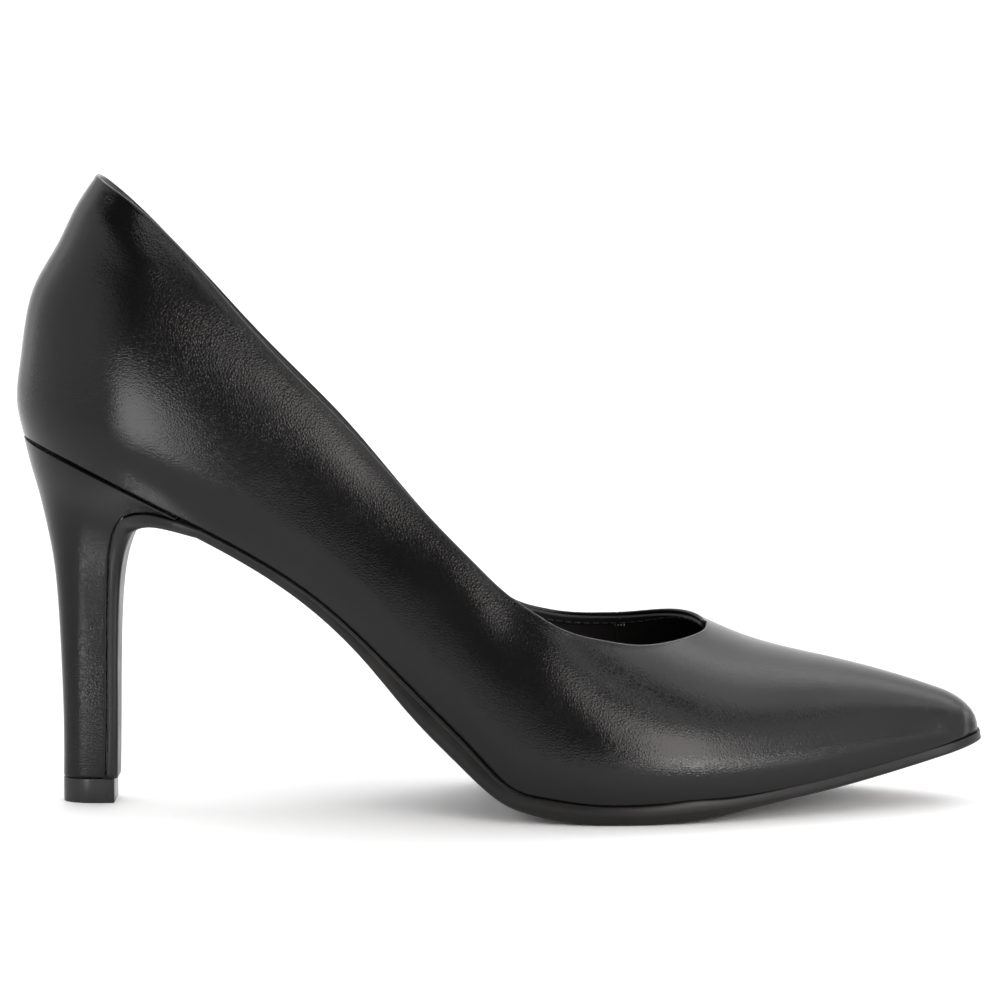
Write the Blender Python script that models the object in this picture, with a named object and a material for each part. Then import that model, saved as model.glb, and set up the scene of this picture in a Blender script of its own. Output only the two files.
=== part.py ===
"""Pointed toe pump with a slim covered heel: a right shoe, made of its maker's pieces.

Frame: +X runs from heel to toe, +Y to the inner side of the foot and +Z up; the floor is Z = 0.
Lengths are metres. The tables hold shares of the driving dimensions that their headings name.
"""

from collections import namedtuple

import bmesh
import bpy
import numpy as np

# Driving dimensions
LENGTH = 0.2353  # back of the upper to the tip of the sole, level
BALL_WIDTH = 0.0700  # feather line to feather line across the ball
HEEL_HEIGHT = 0.0900  # floor to the seat at the back
INSTEP = 0.0385  # feather line to the ridge at the throat
BACK_HEIGHT = 0.0697  # seat to the top of the back, over the same point of the seat
WALL = 0.0016  # leather and lining together
SOLE = 0.0044  # outsole at the ball
FLAP = 0.0019  # outsole where it covers the breast of the heel
INSOLE = 0.0020
TOP_PIECE = 0.0060  # height of the heel tip
GAP = 0.0003  # between pieces that meet

# Places along the foot, from the back
HEEL_CENTRE = 0.034  # the round of the heel springs from here
THROAT = 0.1685  # front of the opening
THROAT_ROUND = 0.024  # length over which the opening closes
NOSE = 0.010  # length of the rounded toe tip
SHANK_END = 0.046  # where the outsole leaves the seat for the breast
SOLE_LIP = 0.0005  # how far the outsole stands past the feather line
SOLE_TIP = 0.0006  # half width of the very tip of the outsole
HEEL_SQUARENESS = 2.2  # exponents of the superellipses that close the ends
NOSE_SQUARENESS = 2.8
THROAT_SQUARENESS = 3.0

# The last. Shares: along of LENGTH; seat and arch of HEEL_HEIGHT; outer, inner, swell_out, swell_in,
# belly and ridge of BALL_WIDTH; crown of INSTEP; sole of SOLE. Tilt is a slope.
# seat: feather line over the floor. arch: how much higher the inner feather line is.
# outer, inner: feather line from the middle.
# swell_out, swell_in: how far the wall stands past the feather line, at the height belly.
# crown: ridge over the feather line. ridge: its shift to the inner side.
# tilt: rise towards the inner side at the ridge. sole: thickness of the outsole.
Station = namedtuple(
    "Station", "along seat outer inner arch swell_out swell_in belly crown ridge tilt sole"
)
LAST = [
    Station(0.000, 1.014, 0.325, 0.325, 0.000, 0.055, 0.055, 0.210, 2.060, 0.000, 0.00, 0.45),
    Station(0.080, 0.924, 0.333, 0.332, 0.000, 0.055, 0.055, 0.215, 2.140, 0.000, 0.00, 0.45),
    Station(0.160, 0.820, 0.334, 0.330, 0.000, 0.055, 0.056, 0.215, 2.130, 0.005, 0.00, 0.45),
    Station(0.250, 0.693, 0.320, 0.300, 0.008, 0.055, 0.066, 0.215, 2.020, 0.020, 0.00, 0.48),
    Station(0.320, 0.567, 0.318, 0.268, 0.020, 0.055, 0.082, 0.210, 1.900, 0.030, 0.00, 0.57),
    Station(0.370, 0.447, 0.332, 0.262, 0.028, 0.052, 0.088, 0.205, 1.820, 0.035, 0.00, 0.68),
    Station(0.425, 0.305, 0.368, 0.296, 0.028, 0.048, 0.078, 0.195, 1.805, 0.040, 0.00, 1.03),
    Station(0.475, 0.178, 0.417, 0.362, 0.018, 0.042, 0.055, 0.180, 1.810, 0.048, 0.02, 1.03),
    Station(0.510, 0.094, 0.456, 0.415, 0.008, 0.036, 0.040, 0.165, 1.790, 0.055, 0.03, 0.90),
    Station(0.540, 0.071, 0.482, 0.453, 0.002, 0.032, 0.034, 0.155, 1.715, 0.060, 0.05, 0.98),
    Station(0.590, 0.054, 0.502, 0.492, 0.000, 0.028, 0.030, 0.140, 1.465, 0.066, 0.08, 1.04),
    Station(0.660, 0.054, 0.492, 0.510, 0.000, 0.026, 0.027, 0.125, 1.165, 0.070, 0.10, 1.04),
    Station(0.712, 0.060, 0.455, 0.495, 0.000, 0.024, 0.025, 0.115, 0.998, 0.066, 0.10, 0.92),
    Station(0.750, 0.067, 0.412, 0.468, 0.000, 0.022, 0.023, 0.105, 0.885, 0.062, 0.08, 0.69),
    Station(0.840, 0.097, 0.282, 0.352, 0.000, 0.018, 0.019, 0.085, 0.680, 0.055, 0.04, 0.52),
    Station(0.920, 0.137, 0.160, 0.232, 0.000, 0.014, 0.015, 0.065, 0.465, 0.044, 0.01, 0.47),
    Station(0.962, 0.163, 0.106, 0.177, 0.000, 0.011, 0.012, 0.052, 0.321, 0.039, 0.00, 0.43),
    Station(1.000, 0.189, 0.062, 0.132, 0.000, 0.008, 0.008, 0.040, 0.180, 0.035, 0.00, 0.34),
]

# Back of the upper. Shares of BACK_HEIGHT: rise over the seat, and inset from the rearmost point.
Back = namedtuple("Back", "rise inset")
BACK = [
    Back(0.00, 0.025),
    Back(0.09, 0.004),
    Back(0.24, 0.014),
    Back(0.39, 0.034),
    Back(0.54, 0.070),
    Back(0.72, 0.153),
    Back(0.86, 0.210),
    Back(1.00, 0.281),
]

# Edge of the opening. Shares: along of LENGTH; outer and inner of INSTEP.
# outer, inner: height of the edge over the feather line on each side.
Topline = namedtuple("Topline", "along outer inner")
TOPLINE = [
    Topline(0.086, 1.827, 1.827),
    Topline(0.128, 1.786, 1.702),
    Topline(0.180, 1.664, 1.542),
    Topline(0.235, 1.461, 1.350),
    Topline(0.290, 1.310, 1.214),
    Topline(0.350, 1.240, 1.129),
    Topline(0.420, 1.190, 1.030),
    Topline(0.480, 1.176, 0.990),
    Topline(0.515, 1.165, 0.976),
    Topline(0.555, 1.063, 0.952),
    Topline(0.600, 0.998, 0.966),
    Topline(0.640, 0.948, 0.982),
    Topline(0.700, 0.900, 1.000),
]

# Heel block, from the top piece up to the seat.
# Shares: flap of FLAP, straight of the section's length, the rest of HEEL_HEIGHT.
# back and front: distance from the back of the upper; back_up and front_up: height over the floor.
# half: half width. straight: share of the side that runs straight back from the breast.
# flap: thickness of the outsole there, which fills the bend where it turns down from the seat.
HeelSection = namedtuple("HeelSection", "back back_up front front_up half straight flap")
HEEL = [
    HeelSection(0.1155, 0.070, 0.2335, 0.070, 0.059, 0.42, 1.42),
    HeelSection(0.1165, 0.222, 0.2385, 0.222, 0.062, 0.42, 1.32),
    HeelSection(0.1110, 0.422, 0.2410, 0.422, 0.069, 0.41, 1.32),
    HeelSection(0.1000, 0.617, 0.2465, 0.594, 0.084, 0.38, 1.45),
    HeelSection(0.0815, 0.740, 0.2550, 0.700, 0.110, 0.34, 1.90),
    HeelSection(0.0602, 0.840, 0.2755, 0.767, 0.149, 0.29, 2.20),
    HeelSection(0.0400, 0.914, 0.3135, 0.802, 0.193, 0.25, 2.05),
    HeelSection(0.0270, 0.968, 0.3755, 0.812, 0.234, 0.21, 1.70),
    HeelSection(0.0200, 1.000, 0.4470, 0.797, 0.262, 0.19, 1.40),
]
HEEL_BOW = 0.55  # share of the way up from which the sections take on the curve of the seat
TIP_EASE = 0.0003  # eased lower edge of the top piece
INSOLE_CLEARANCE = 0.0004  # between the footbed's edge and the wall
INSOLE_SETBACK = 0.0030  # footbed's tip behind the upper's

# Side of the outsole, in shares of the thickness there: out past its outline, and down.
Edge = namedtuple("Edge", "out down")
SOLE_EDGE = [
    Edge(0.00, 0.00),
    Edge(0.07, 0.22),
    Edge(0.06, 0.55),
    Edge(-0.06, 0.85),
    Edge(-0.34, 1.00),
]
LEAST_TREAD = 0.45  # least share of the sole's width that the tread keeps at the tip

# Finishes: colour, roughness
LEATHER = ("black_leather", (0.012, 0.012, 0.013), 0.38)
SOLE_RUBBER = ("sole_rubber", (0.014, 0.013, 0.013), 0.50)
SOCK = ("black_sock", (0.010, 0.010, 0.010), 0.60)
TIP_PLASTIC = ("tip_plastic", (0.012, 0.012, 0.012), 0.30)

RIB_ROWS_LOW = 3  # rows of faces below the belly of the wall
RIB_ROWS_HIGH = 9  # and above it


def spline(places, values):
    """Natural cubic curve through the points, as a function of place."""
    x, y = np.asarray(places, float), np.asarray(values, float)
    step, count = np.diff(x), len(x)
    matrix, right = np.eye(count), np.zeros(count)
    for i in range(1, count - 1):
        matrix[i, i - 1 : i + 2] = step[i - 1], 2 * (step[i - 1] + step[i]), step[i]
        right[i] = 6 * ((y[i + 1] - y[i]) / step[i] - (y[i] - y[i - 1]) / step[i - 1])
    bend = np.linalg.solve(matrix, right)

    def at(place):
        i = int(np.clip(np.searchsorted(x, place) - 1, 0, count - 2))
        a, b = (x[i + 1] - place) / step[i], (place - x[i]) / step[i]
        curved = ((a**3 - a) * bend[i] + (b**3 - b) * bend[i + 1]) * step[i] ** 2 / 6
        return float(a * y[i] + b * y[i + 1] + curved)

    return at


def column(table, key, name, key_size, size):
    """One column of a table as a smooth function, both turned from shares into metres."""
    places = [getattr(row, key) * key_size for row in table]
    return spline(places, [getattr(row, name) * size for row in table])


def last_column(name, size):
    return column(LAST, "along", name, LENGTH, size)


seat = last_column("seat", HEEL_HEIGHT)
arch = last_column("arch", HEEL_HEIGHT)
outer_feather = last_column("outer", BALL_WIDTH)
inner_feather = last_column("inner", BALL_WIDTH)
outer_swell = last_column("swell_out", BALL_WIDTH)
inner_swell = last_column("swell_in", BALL_WIDTH)
belly = last_column("belly", BALL_WIDTH)
crown = last_column("crown", INSTEP)
ridge = last_column("ridge", BALL_WIDTH)
tilt = last_column("tilt", 1.0)
sole_thickness = last_column("sole", SOLE)
back_inset = column(BACK, "rise", "inset", BACK_HEIGHT, BACK_HEIGHT)
outer_topline = column(TOPLINE, "along", "outer", LENGTH, INSTEP)
inner_topline = column(TOPLINE, "along", "inner", LENGTH, INSTEP)

OUTER, INNER = -1, 1


def closing(place, start, end, squareness):
    """1 before start, falling to 0 at end as the side of a superellipse does."""
    share = np.clip((place - start) / (end - start), 0.0, 1.0)
    return float((1 - share**squareness) ** (1 / squareness))


def nose_closing(x, tip):
    return closing(x, tip - NOSE, tip, NOSE_SQUARENESS)


def middle(x):
    """Y of the middle of the sole."""
    return (inner_feather(x) - outer_feather(x)) / 2


def half_sole(x):
    return (inner_feather(x) + outer_feather(x)) / 2


class WallSection:
    """One side of the upper's outer surface: a swell up to the belly, then an ellipse to the ridge."""

    def __init__(self, x, side, tip):
        close = nose_closing(x, tip)
        swell = outer_swell(x) if side == OUTER else inner_swell(x)
        lift = arch(x) if side == INNER else 0.0
        self.base = seat(x) + lift
        self.foot = middle(x) + side * half_sole(x) * close
        self.wide = middle(x) + side * (half_sole(x) + swell) * close
        self.ridge = middle(x) + (ridge(x) - middle(x)) * close
        self.belly = belly(x) * close
        self.crown = crown(x) * close - lift
        self.tilt = tilt(x)

    def turn_at(self, height):
        """Angle round the ellipse at a height over the feather line."""
        turn = 0.0
        for _ in range(30):
            reach = self.crown - self.belly + self.tilt * (self.wide - self.ridge) * np.cos(turn)
            turn = float(np.arcsin(np.clip((height - self.belly) / reach, 0.0, 1.0)))
        return turn

    def below(self, share):
        """Point at a share of the way from the feather line to the belly."""
        return self.foot + (self.wide - self.foot) * (1 - (1 - share) ** 2), self.belly * share

    def above(self, turn):
        """Point at an angle from the belly, at 0, to the ridge, at a right angle."""
        out = (self.wide - self.ridge) * np.cos(turn)
        return self.ridge + out, self.belly + (self.crown - self.belly + self.tilt * out) * np.sin(turn)

    def at_height(self, height):
        """Y of the wall at a height over the feather line."""
        if height < self.belly:
            return self.below(height / self.belly)[0]
        return self.above(self.turn_at(height))[0]


def topline_height(x, side):
    return outer_topline(x) if side == OUTER else inner_topline(x) - arch(x)


def topline_turn(section, x, side):
    """Angle of the opening's edge, which closes over the throat to a right angle at the ridge."""
    if x >= THROAT:
        return np.pi / 2
    open_share = closing(x, THROAT - THROAT_ROUND, THROAT, THROAT_SQUARENESS)
    return float(np.arccos(np.cos(section.turn_at(topline_height(x, side))) * open_share))


def side_rib(x, side, tip):
    """Points up one side at a station, from the feather line to the topline or the ridge."""
    section = WallSection(x, side, tip)
    low = [section.below(i / RIB_ROWS_LOW) for i in range(RIB_ROWS_LOW)]
    top = topline_turn(section, x, side)
    high = [section.above(top * i / RIB_ROWS_HIGH) for i in range(RIB_ROWS_HIGH + 1)]
    return [(x, y, section.base + z) for y, z in low + high]


def heel_point(angle, side, height):
    """Point on the round of the heel, from the middle of the back, at 0, to the heel's side."""
    power = 2 / HEEL_SQUARENESS
    reach = HEEL_CENTRE - back_inset(height)
    x = HEEL_CENTRE - reach * np.cos(angle) ** power
    y = WallSection(x, side, LENGTH).at_height(height) * np.sin(angle) ** power
    return x, y, seat(x) + height


def heel_rib(angle, side):
    """Points up the round of the heel, spaced as those of the side rib that it meets."""
    meeting = WallSection(HEEL_CENTRE, side, LENGTH)
    top_turn = topline_turn(meeting, HEEL_CENTRE, side)
    low = [meeting.below(i / RIB_ROWS_LOW)[1] for i in range(RIB_ROWS_LOW)]
    high = [meeting.above(top_turn * i / RIB_ROWS_HIGH)[1] for i in range(RIB_ROWS_HIGH + 1)]
    shares = np.array(low + high) / high[-1]
    top = high[-1]
    for _ in range(12):  # the topline's height depends on the place that it gives
        top = topline_height(heel_point(angle, side, top)[0], side)
    return [heel_point(angle, side, top * share) for share in shares]


def spaced(start, end, count, crowd_end=False):
    """Places from start up to end, evenly or crowded towards the end as a circle's points are."""
    shares = np.arange(count) / count
    if crowd_end:
        shares = np.sin(shares * np.pi / 2)
    return [float(start + (end - start) * share) for share in shares]


def side_places(tip):
    """Stations of the upper's side ribs, from the heel forward."""
    return (
        spaced(HEEL_CENTRE, THROAT - THROAT_ROUND, 13)
        + spaced(THROAT - THROAT_ROUND, THROAT, 6, crowd_end=True)
        + spaced(THROAT, tip - NOSE, 7)
        + spaced(tip - NOSE, tip, 5, crowd_end=True)
        + [tip]
    )


def principled(finish):
    name, colour, roughness = finish
    material = bpy.data.materials.get(name) or bpy.data.materials.new(name)
    material.use_nodes = True
    shader = material.node_tree.nodes["Principled BSDF"]
    shader.inputs["Base Color"].default_value = (*colour, 1.0)
    shader.inputs["Roughness"].default_value = roughness
    shader.inputs["Metallic"].default_value = 0.0
    return material


def add_piece(name, mesh_points, faces, finish, parent):
    """A named object from points and faces, with its seams closed and its faces turned outwards."""
    build = bmesh.new()
    corners = [build.verts.new(point) for point in mesh_points]
    for face in faces:
        build.faces.new([corners[i] for i in face])
    bmesh.ops.remove_doubles(build, verts=build.verts, dist=1e-6)
    bmesh.ops.dissolve_degenerate(build, edges=build.edges, dist=1e-7)
    bmesh.ops.recalc_face_normals(build, faces=build.faces)
    mesh = bpy.data.meshes.new(name)
    build.to_mesh(mesh)
    build.free()
    mesh.shade_smooth()
    mesh.materials.append(principled(finish))
    piece = bpy.data.objects.new(name, mesh)
    piece.parent = parent
    bpy.context.scene.collection.objects.link(piece)
    return piece


def strip_faces(rows, length, wrap_rows=False, wrap_length=False):
    """Quads between neighbouring rows of points, each row length points long."""
    faces = []
    for i in range(rows if wrap_rows else rows - 1):
        row, following = i * length, (i + 1) % rows * length
        for j in range(length if wrap_length else length - 1):
            beside = (j + 1) % length
            faces.append((row + j, following + j, following + beside, row + beside))
    return faces


def build_upper(parent):
    """Vamp and quarters in one: a skin from rib to rib round the foot, given its thickness inwards."""
    tip = LENGTH - SOLE_LIP
    places = side_places(tip)
    turns = np.linspace(0, np.pi / 2, 8)
    ribs = [side_rib(x, OUTER, tip) for x in reversed(places)]
    ribs += [heel_rib(turn, OUTER) for turn in reversed(turns[:-1])]
    ribs += [heel_rib(turn, INNER) for turn in turns[1:-1]]
    ribs += [side_rib(x, INNER, tip) for x in places[:-1]]
    points = [point for rib in ribs for point in rib]
    faces = strip_faces(len(ribs), len(ribs[0]), wrap_rows=True)
    upper = add_piece("upper", points, faces, LEATHER, parent)
    wall = upper.modifiers.new("wall", "SOLIDIFY")
    wall.thickness = WALL
    wall.offset = -1.0
    wall.use_even_offset = True
    return upper


class HeelBlock:
    """Covered heel in sections that run from back to breast: level 0 on the top piece, 1 under the seat."""

    def __init__(self):
        levels = np.linspace(0, 1, len(HEEL))
        self.sizes = {
            name: spline(levels, [getattr(row, name) * HEEL_HEIGHT for row in HEEL])
            for name in ("back", "back_up", "front", "front_up", "half")
        }
        self.straight = spline(levels, [row.straight for row in HEEL])
        self.flap = spline(levels, [row.flap * FLAP for row in HEEL])

    def size(self, name, level):
        return self.sizes[name](level)

    def front_point(self, level):
        return self.size("front", level), self.size("front_up", level)

    def outline(self, level):
        """Shares from back to breast, and half widths, along one side of a section."""
        power, square = 2 / HEEL_SQUARENESS, 1 - self.straight(level)
        turns = np.linspace(0, np.pi / 2, 9)
        shares = square * (1 - np.cos(turns) ** power)
        halves = self.size("half", level) * np.sin(turns) ** power
        straight_shares = np.linspace(square, 1, 3)[1:]
        return np.append(shares, straight_shares), np.append(halves, np.repeat(halves[-1], 2))

    def ring(self, level):
        """Points round a section, from the outer end of the breast by the back to its inner end."""
        shares, halves = self.outline(level)
        back, front = self.size("back", level), self.size("front", level)
        bow = np.clip((level - HEEL_BOW) / (1 - HEEL_BOW), 0, 1) ** 2
        side = []
        for share, half in zip(shares, halves):
            x = back + share * (front - back)
            chord = seat(back) + share * (seat(front) - seat(back))
            z = self.size("back_up", level) * (1 - share) + self.size("front_up", level) * share
            side.append((x, half, z + bow * (seat(x) - chord)))
        return [(x, -y, z) for x, y, z in reversed(side)] + side[1:]


def paired_cap(start, count):
    """Faces that close a ring whose points pair off across it, up to the point in the middle."""
    last, middle_point = start + count - 1, count // 2
    faces = [(start + i, start + i + 1, last - i - 1, last - i) for i in range(middle_point - 1)]
    return faces + [(start + middle_point - 1, start + middle_point, start + middle_point + 1)]


def add_stack(name, rings, finish, parent):
    """A piece from rings of equal length, one over another, closed at the bottom and the top."""
    count = len(rings[0])
    points = [point for ring in rings for point in ring]
    faces = strip_faces(len(rings), count, wrap_length=True)
    faces += paired_cap(0, count) + paired_cap((len(rings) - 1) * count, count)
    return add_piece(name, points, faces, finish, parent)


def build_heel(heel, parent):
    rings = [heel.ring(level) for level in np.linspace(0, 1, 22)]
    rings.append([(x, y, seat(x) - GAP) for x, y, _ in rings[-1]])
    return add_stack("heel", rings, LEATHER, parent)


def build_top_piece(heel, parent):
    """Heel tip: the bottom section of heel and flap together, with its lower edge eased."""
    back = heel.size("back", 0)
    length = heel.size("front", 0) + GAP + FLAP - back
    shares, halves = heel.outline(0)
    rings = []
    for height, inset in ((0.0, TIP_EASE), (TIP_EASE, 0.0), (TOP_PIECE, 0.0)):
        centre = back + length / 2
        side = []
        for share, half in zip(shares, halves):
            x = centre + (share - 0.5) * (length - 2 * inset)
            side.append((x, half * (1 - inset / halves[-1]), height))
        rings.append([(x, -y, z) for x, y, z in reversed(side)] + side[1:])
    return add_stack("top_piece", rings, TIP_PLASTIC, parent)


class Ribbon:
    """The outsole in profile: along the seat from toe to shank, then down the breast of the heel."""

    def __init__(self, heel):
        places = [LENGTH - NOSE * (1 - share) for share in np.sin(np.linspace(np.pi / 2, 0, 6))]
        places += [float(x) for x in np.linspace(LENGTH - NOSE, SHANK_END, 33)[1:]]
        levels = np.linspace(1, 0, 20)
        breast_line = [heel.front_point(level) for level in levels]
        self.line = np.array([(x, seat(x)) for x in places] + breast_line)
        breast = [heel.size("half", level) for level in levels]
        self.outer = [self.edge(x, OUTER) for x in places] + [-half for half in breast]
        self.inner = [self.edge(x, INNER) for x in places] + breast
        self.lift = [arch(x) for x in places] + [0.0] * len(levels)
        self.thick = [sole_thickness(x) for x in places] + [heel.flap(level) for level in levels]
        along = np.gradient(self.line, axis=0)
        self.away = np.column_stack([-along[:, 1], along[:, 0]]) / np.linalg.norm(along, axis=1)[:, None]

    def edge(self, x, side):
        half = (half_sole(x) + SOLE_LIP) * nose_closing(x, LENGTH)
        return middle(x) + side * max(half, SOLE_TIP)

    def point(self, i, y, depth):
        """Point at a station, y across it and depth into the sole, which is flat on the floor."""
        width = max(self.inner[i] - self.outer[i], 1e-6)
        lift = self.lift[i] * np.clip((y - self.outer[i]) / width, 0, 1)
        x, z = self.line[i] + self.away[i] * (GAP + depth)
        return float(x), float(y), max(float(z + lift), 0.0)

    def ring(self, i):
        """Points round the sole at a station: its top, one side, the tread and the other side."""
        outer, inner, thick = self.outer[i], self.inner[i], self.thick[i]
        centre, half = (outer + inner) / 2, (inner - outer) / 2
        least = LEAST_TREAD * half
        side = [(max(half + edge.out * thick, least), edge.down * thick) for edge in SOLE_EDGE]
        tread_half = side[-1][0]
        ring = [self.point(i, y, 0.0) for y in np.linspace(outer, inner, 5)]
        ring += [self.point(i, centre + reach, depth) for reach, depth in side[1:]]
        ring += [self.point(i, centre + y, thick) for y in np.linspace(tread_half, -tread_half, 5)[1:-1]]
        ring += [self.point(i, centre - reach, depth) for reach, depth in reversed(side[1:])]
        return ring


def build_outsole(heel, parent):
    ribbon = Ribbon(heel)
    rings = [ribbon.ring(i) for i in range(len(ribbon.line))]
    count = len(rings[0])
    faces = strip_faces(len(rings), count, wrap_length=True)
    faces += [tuple(range(count)), tuple(range((len(rings) - 1) * count, len(rings) * count))]
    return add_piece("outsole", [point for ring in rings for point in ring], faces, SOLE_RUBBER, parent)


def build_insole(parent):
    """Footbed: the outline of the feather line drawn in past the wall, lying along the seat."""
    inset = WALL + INSOLE_CLEARANCE
    tip, back = LENGTH - SOLE_LIP - INSOLE_SETBACK, back_inset(0.0) + inset
    heel_turns, nose_turns = np.linspace(0, np.pi / 2, 7), np.linspace(0, np.pi / 2, 6)
    places = [back + (HEEL_CENTRE - back) * (1 - np.cos(turn)) for turn in heel_turns]
    places += [float(x) for x in np.linspace(HEEL_CENTRE, tip - NOSE, 30)[1:]]
    places += [tip - NOSE + NOSE * np.sin(turn) for turn in nose_turns[1:]]
    rings = []
    for x in places:
        close = nose_closing(x, tip) * closing(HEEL_CENTRE - x, 0.0, HEEL_CENTRE - back, HEEL_SQUARENESS)
        half = max(half_sole(x) - inset, 0.0) * close
        across = np.linspace(-half, half, 5)
        lifts = [arch(x) * (y + half) / (2 * half) if half else 0.0 for y in across]
        under = [(x, middle(x) * close + y, seat(x) + lift) for y, lift in zip(across, lifts)]
        over = [(x, y, z + INSOLE) for x, y, z in reversed(under)]
        rings.append(under + over)
    count = len(rings[0])
    points = [point for ring in rings for point in ring]
    return add_piece("insole", points, strip_faces(len(rings), count, wrap_length=True), SOCK, parent)


def centre_on_floor(parent, pieces):
    """Moves the shoe so that the middle of its box, seen from above, is the origin."""
    points = np.array([vertex.co for piece in pieces for vertex in piece.data.vertices])
    low, high = points.min(axis=0), points.max(axis=0)
    parent.location = (-(low[0] + high[0]) / 2, -(low[1] + high[1]) / 2, -low[2])


def main():
    for leftover in list(bpy.data.objects):
        bpy.data.objects.remove(leftover)
    shoe = bpy.data.objects.new("shoe", None)
    bpy.context.scene.collection.objects.link(shoe)
    heel = HeelBlock()
    pieces = [
        build_upper(shoe),
        build_outsole(heel, shoe),
        build_insole(shoe),
        build_heel(heel, shoe),
        build_top_piece(heel, shoe),
    ]
    centre_on_floor(shoe, pieces)


main()
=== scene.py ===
"""Looks of a pointed toe pump: a right shoe in smooth black leather on a slim covered heel.

Everything is in metres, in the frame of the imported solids: +X from heel to toe, +Y to the inner
side of the foot, +Z up, and the floor at Z = 0. The forms repeat the named sizes and short tables
of the solids on finer grids, and add what a shoemaker adds: a turned edge along the opening, the
lining and its facing, stitches, the joint on the inner side, the layers of the sole's edge and
the grain of the leather.
"""

import logging
import math
from dataclasses import dataclass, field
from enum import Enum
from typing import NamedTuple

import bmesh
import bpy
import numpy as np
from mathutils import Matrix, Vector


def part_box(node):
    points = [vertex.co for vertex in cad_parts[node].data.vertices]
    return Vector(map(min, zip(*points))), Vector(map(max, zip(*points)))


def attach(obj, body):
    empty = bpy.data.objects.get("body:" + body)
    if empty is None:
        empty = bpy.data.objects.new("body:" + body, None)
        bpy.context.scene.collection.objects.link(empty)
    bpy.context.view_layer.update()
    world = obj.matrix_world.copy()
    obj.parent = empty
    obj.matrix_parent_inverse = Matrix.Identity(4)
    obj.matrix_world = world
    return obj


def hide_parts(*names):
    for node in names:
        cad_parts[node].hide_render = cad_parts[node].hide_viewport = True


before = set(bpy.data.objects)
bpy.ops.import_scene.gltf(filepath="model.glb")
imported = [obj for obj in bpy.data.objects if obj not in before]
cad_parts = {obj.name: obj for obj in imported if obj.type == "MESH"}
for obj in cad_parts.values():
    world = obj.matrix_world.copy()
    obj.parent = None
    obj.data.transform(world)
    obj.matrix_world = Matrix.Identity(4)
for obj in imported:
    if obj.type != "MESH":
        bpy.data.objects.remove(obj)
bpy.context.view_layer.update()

LOG = logging.getLogger("pump")
Array = np.ndarray
Colour = tuple[float, float, float]
Point = tuple[float, float, float]
Span = tuple[float, float]
Socket = bpy.types.NodeSocket
RIGHT_ANGLE = math.pi / 2
WELD = 2e-7  # points nearer than this are one
NOISE_SPAN = (0.3, 0.7)  # what most values of a noise lie in
SIDE_BLEND = 0.002  # from one side of the foot to the other
BODY = "root"


class Side(Enum):
    """Side of the foot; the value is the sign of Y."""

    OUTER = -1
    INNER = 1


class Slot(Enum):
    """Names of material slots."""

    LEATHER = "leather"
    SOLE = "sole"
    SOCK = "sock"
    TIP = "tip"


class Crease(NamedTuple):
    """Soft ridge, or trough where rise is negative, along a line on one side of the upper.

    Places are along the foot and over the floor; width is where it has faded to a third.
    """

    side: Side
    start: tuple[float, float]
    end: tuple[float, float]
    rise: float
    width: float


@dataclass(frozen=True)
class Curve:
    """Natural cubic curve through points: a value for each place."""

    places: Array
    values: Array
    bends: Array

    @classmethod
    def through(cls, x: Array, y: Array) -> "Curve":
        """Solves for the second derivatives that make the curve smooth, with straight ends.

        Args:
            x: where the points are, rising.
            y: what the curve is there.

        Returns:
            The curve.
        """
        step = np.diff(x)
        matrix, right = np.eye(len(x)), np.zeros(len(x))
        inner = np.arange(1, len(x) - 1)
        matrix[inner, inner - 1] = step[:-1]
        matrix[inner, inner] = 2 * (step[:-1] + step[1:])
        matrix[inner, inner + 1] = step[1:]
        right[1:-1] = 6 * np.diff(np.diff(y) / step)
        return cls(x, y, np.linalg.solve(matrix, right))

    def __call__(self, place: Array) -> Array:
        """The curve at places, as the cubic between the two points on either side.

        Args:
            place: places, an array of any shape.

        Returns:
            An array of the same shape.
        """
        place = np.asarray(place, float)
        i = np.clip(np.searchsorted(self.places, place) - 1, 0, len(self.places) - 2)
        step = self.places[i + 1] - self.places[i]
        a, b = (self.places[i + 1] - place) / step, (place - self.places[i]) / step
        bent = (a**3 - a) * self.bends[i] + (b**3 - b) * self.bends[i + 1]
        return a * self.values[i] + b * self.values[i + 1] + bent * step**2 / 6


@dataclass(frozen=True)
class Table:
    """Columns of shares of the driving sizes, by their names."""

    names: str
    rows: tuple[tuple[float, ...], ...]

    def column(self, name: str) -> Array:
        """One column."""
        return np.array(self.rows)[:, self.names.split().index(name)]

    def curve(self, key: str, key_size: float, name: str, size: float) -> Curve:
        """One column as a curve over another.

        Args:
            key: column that holds the places.
            key_size: size of which they are shares.
            name: column that holds the values.
            size: size of which they are shares.

        Returns:
            The curve, in metres.
        """
        return Curve.through(self.column(key) * key_size, self.column(name) * size)


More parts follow.
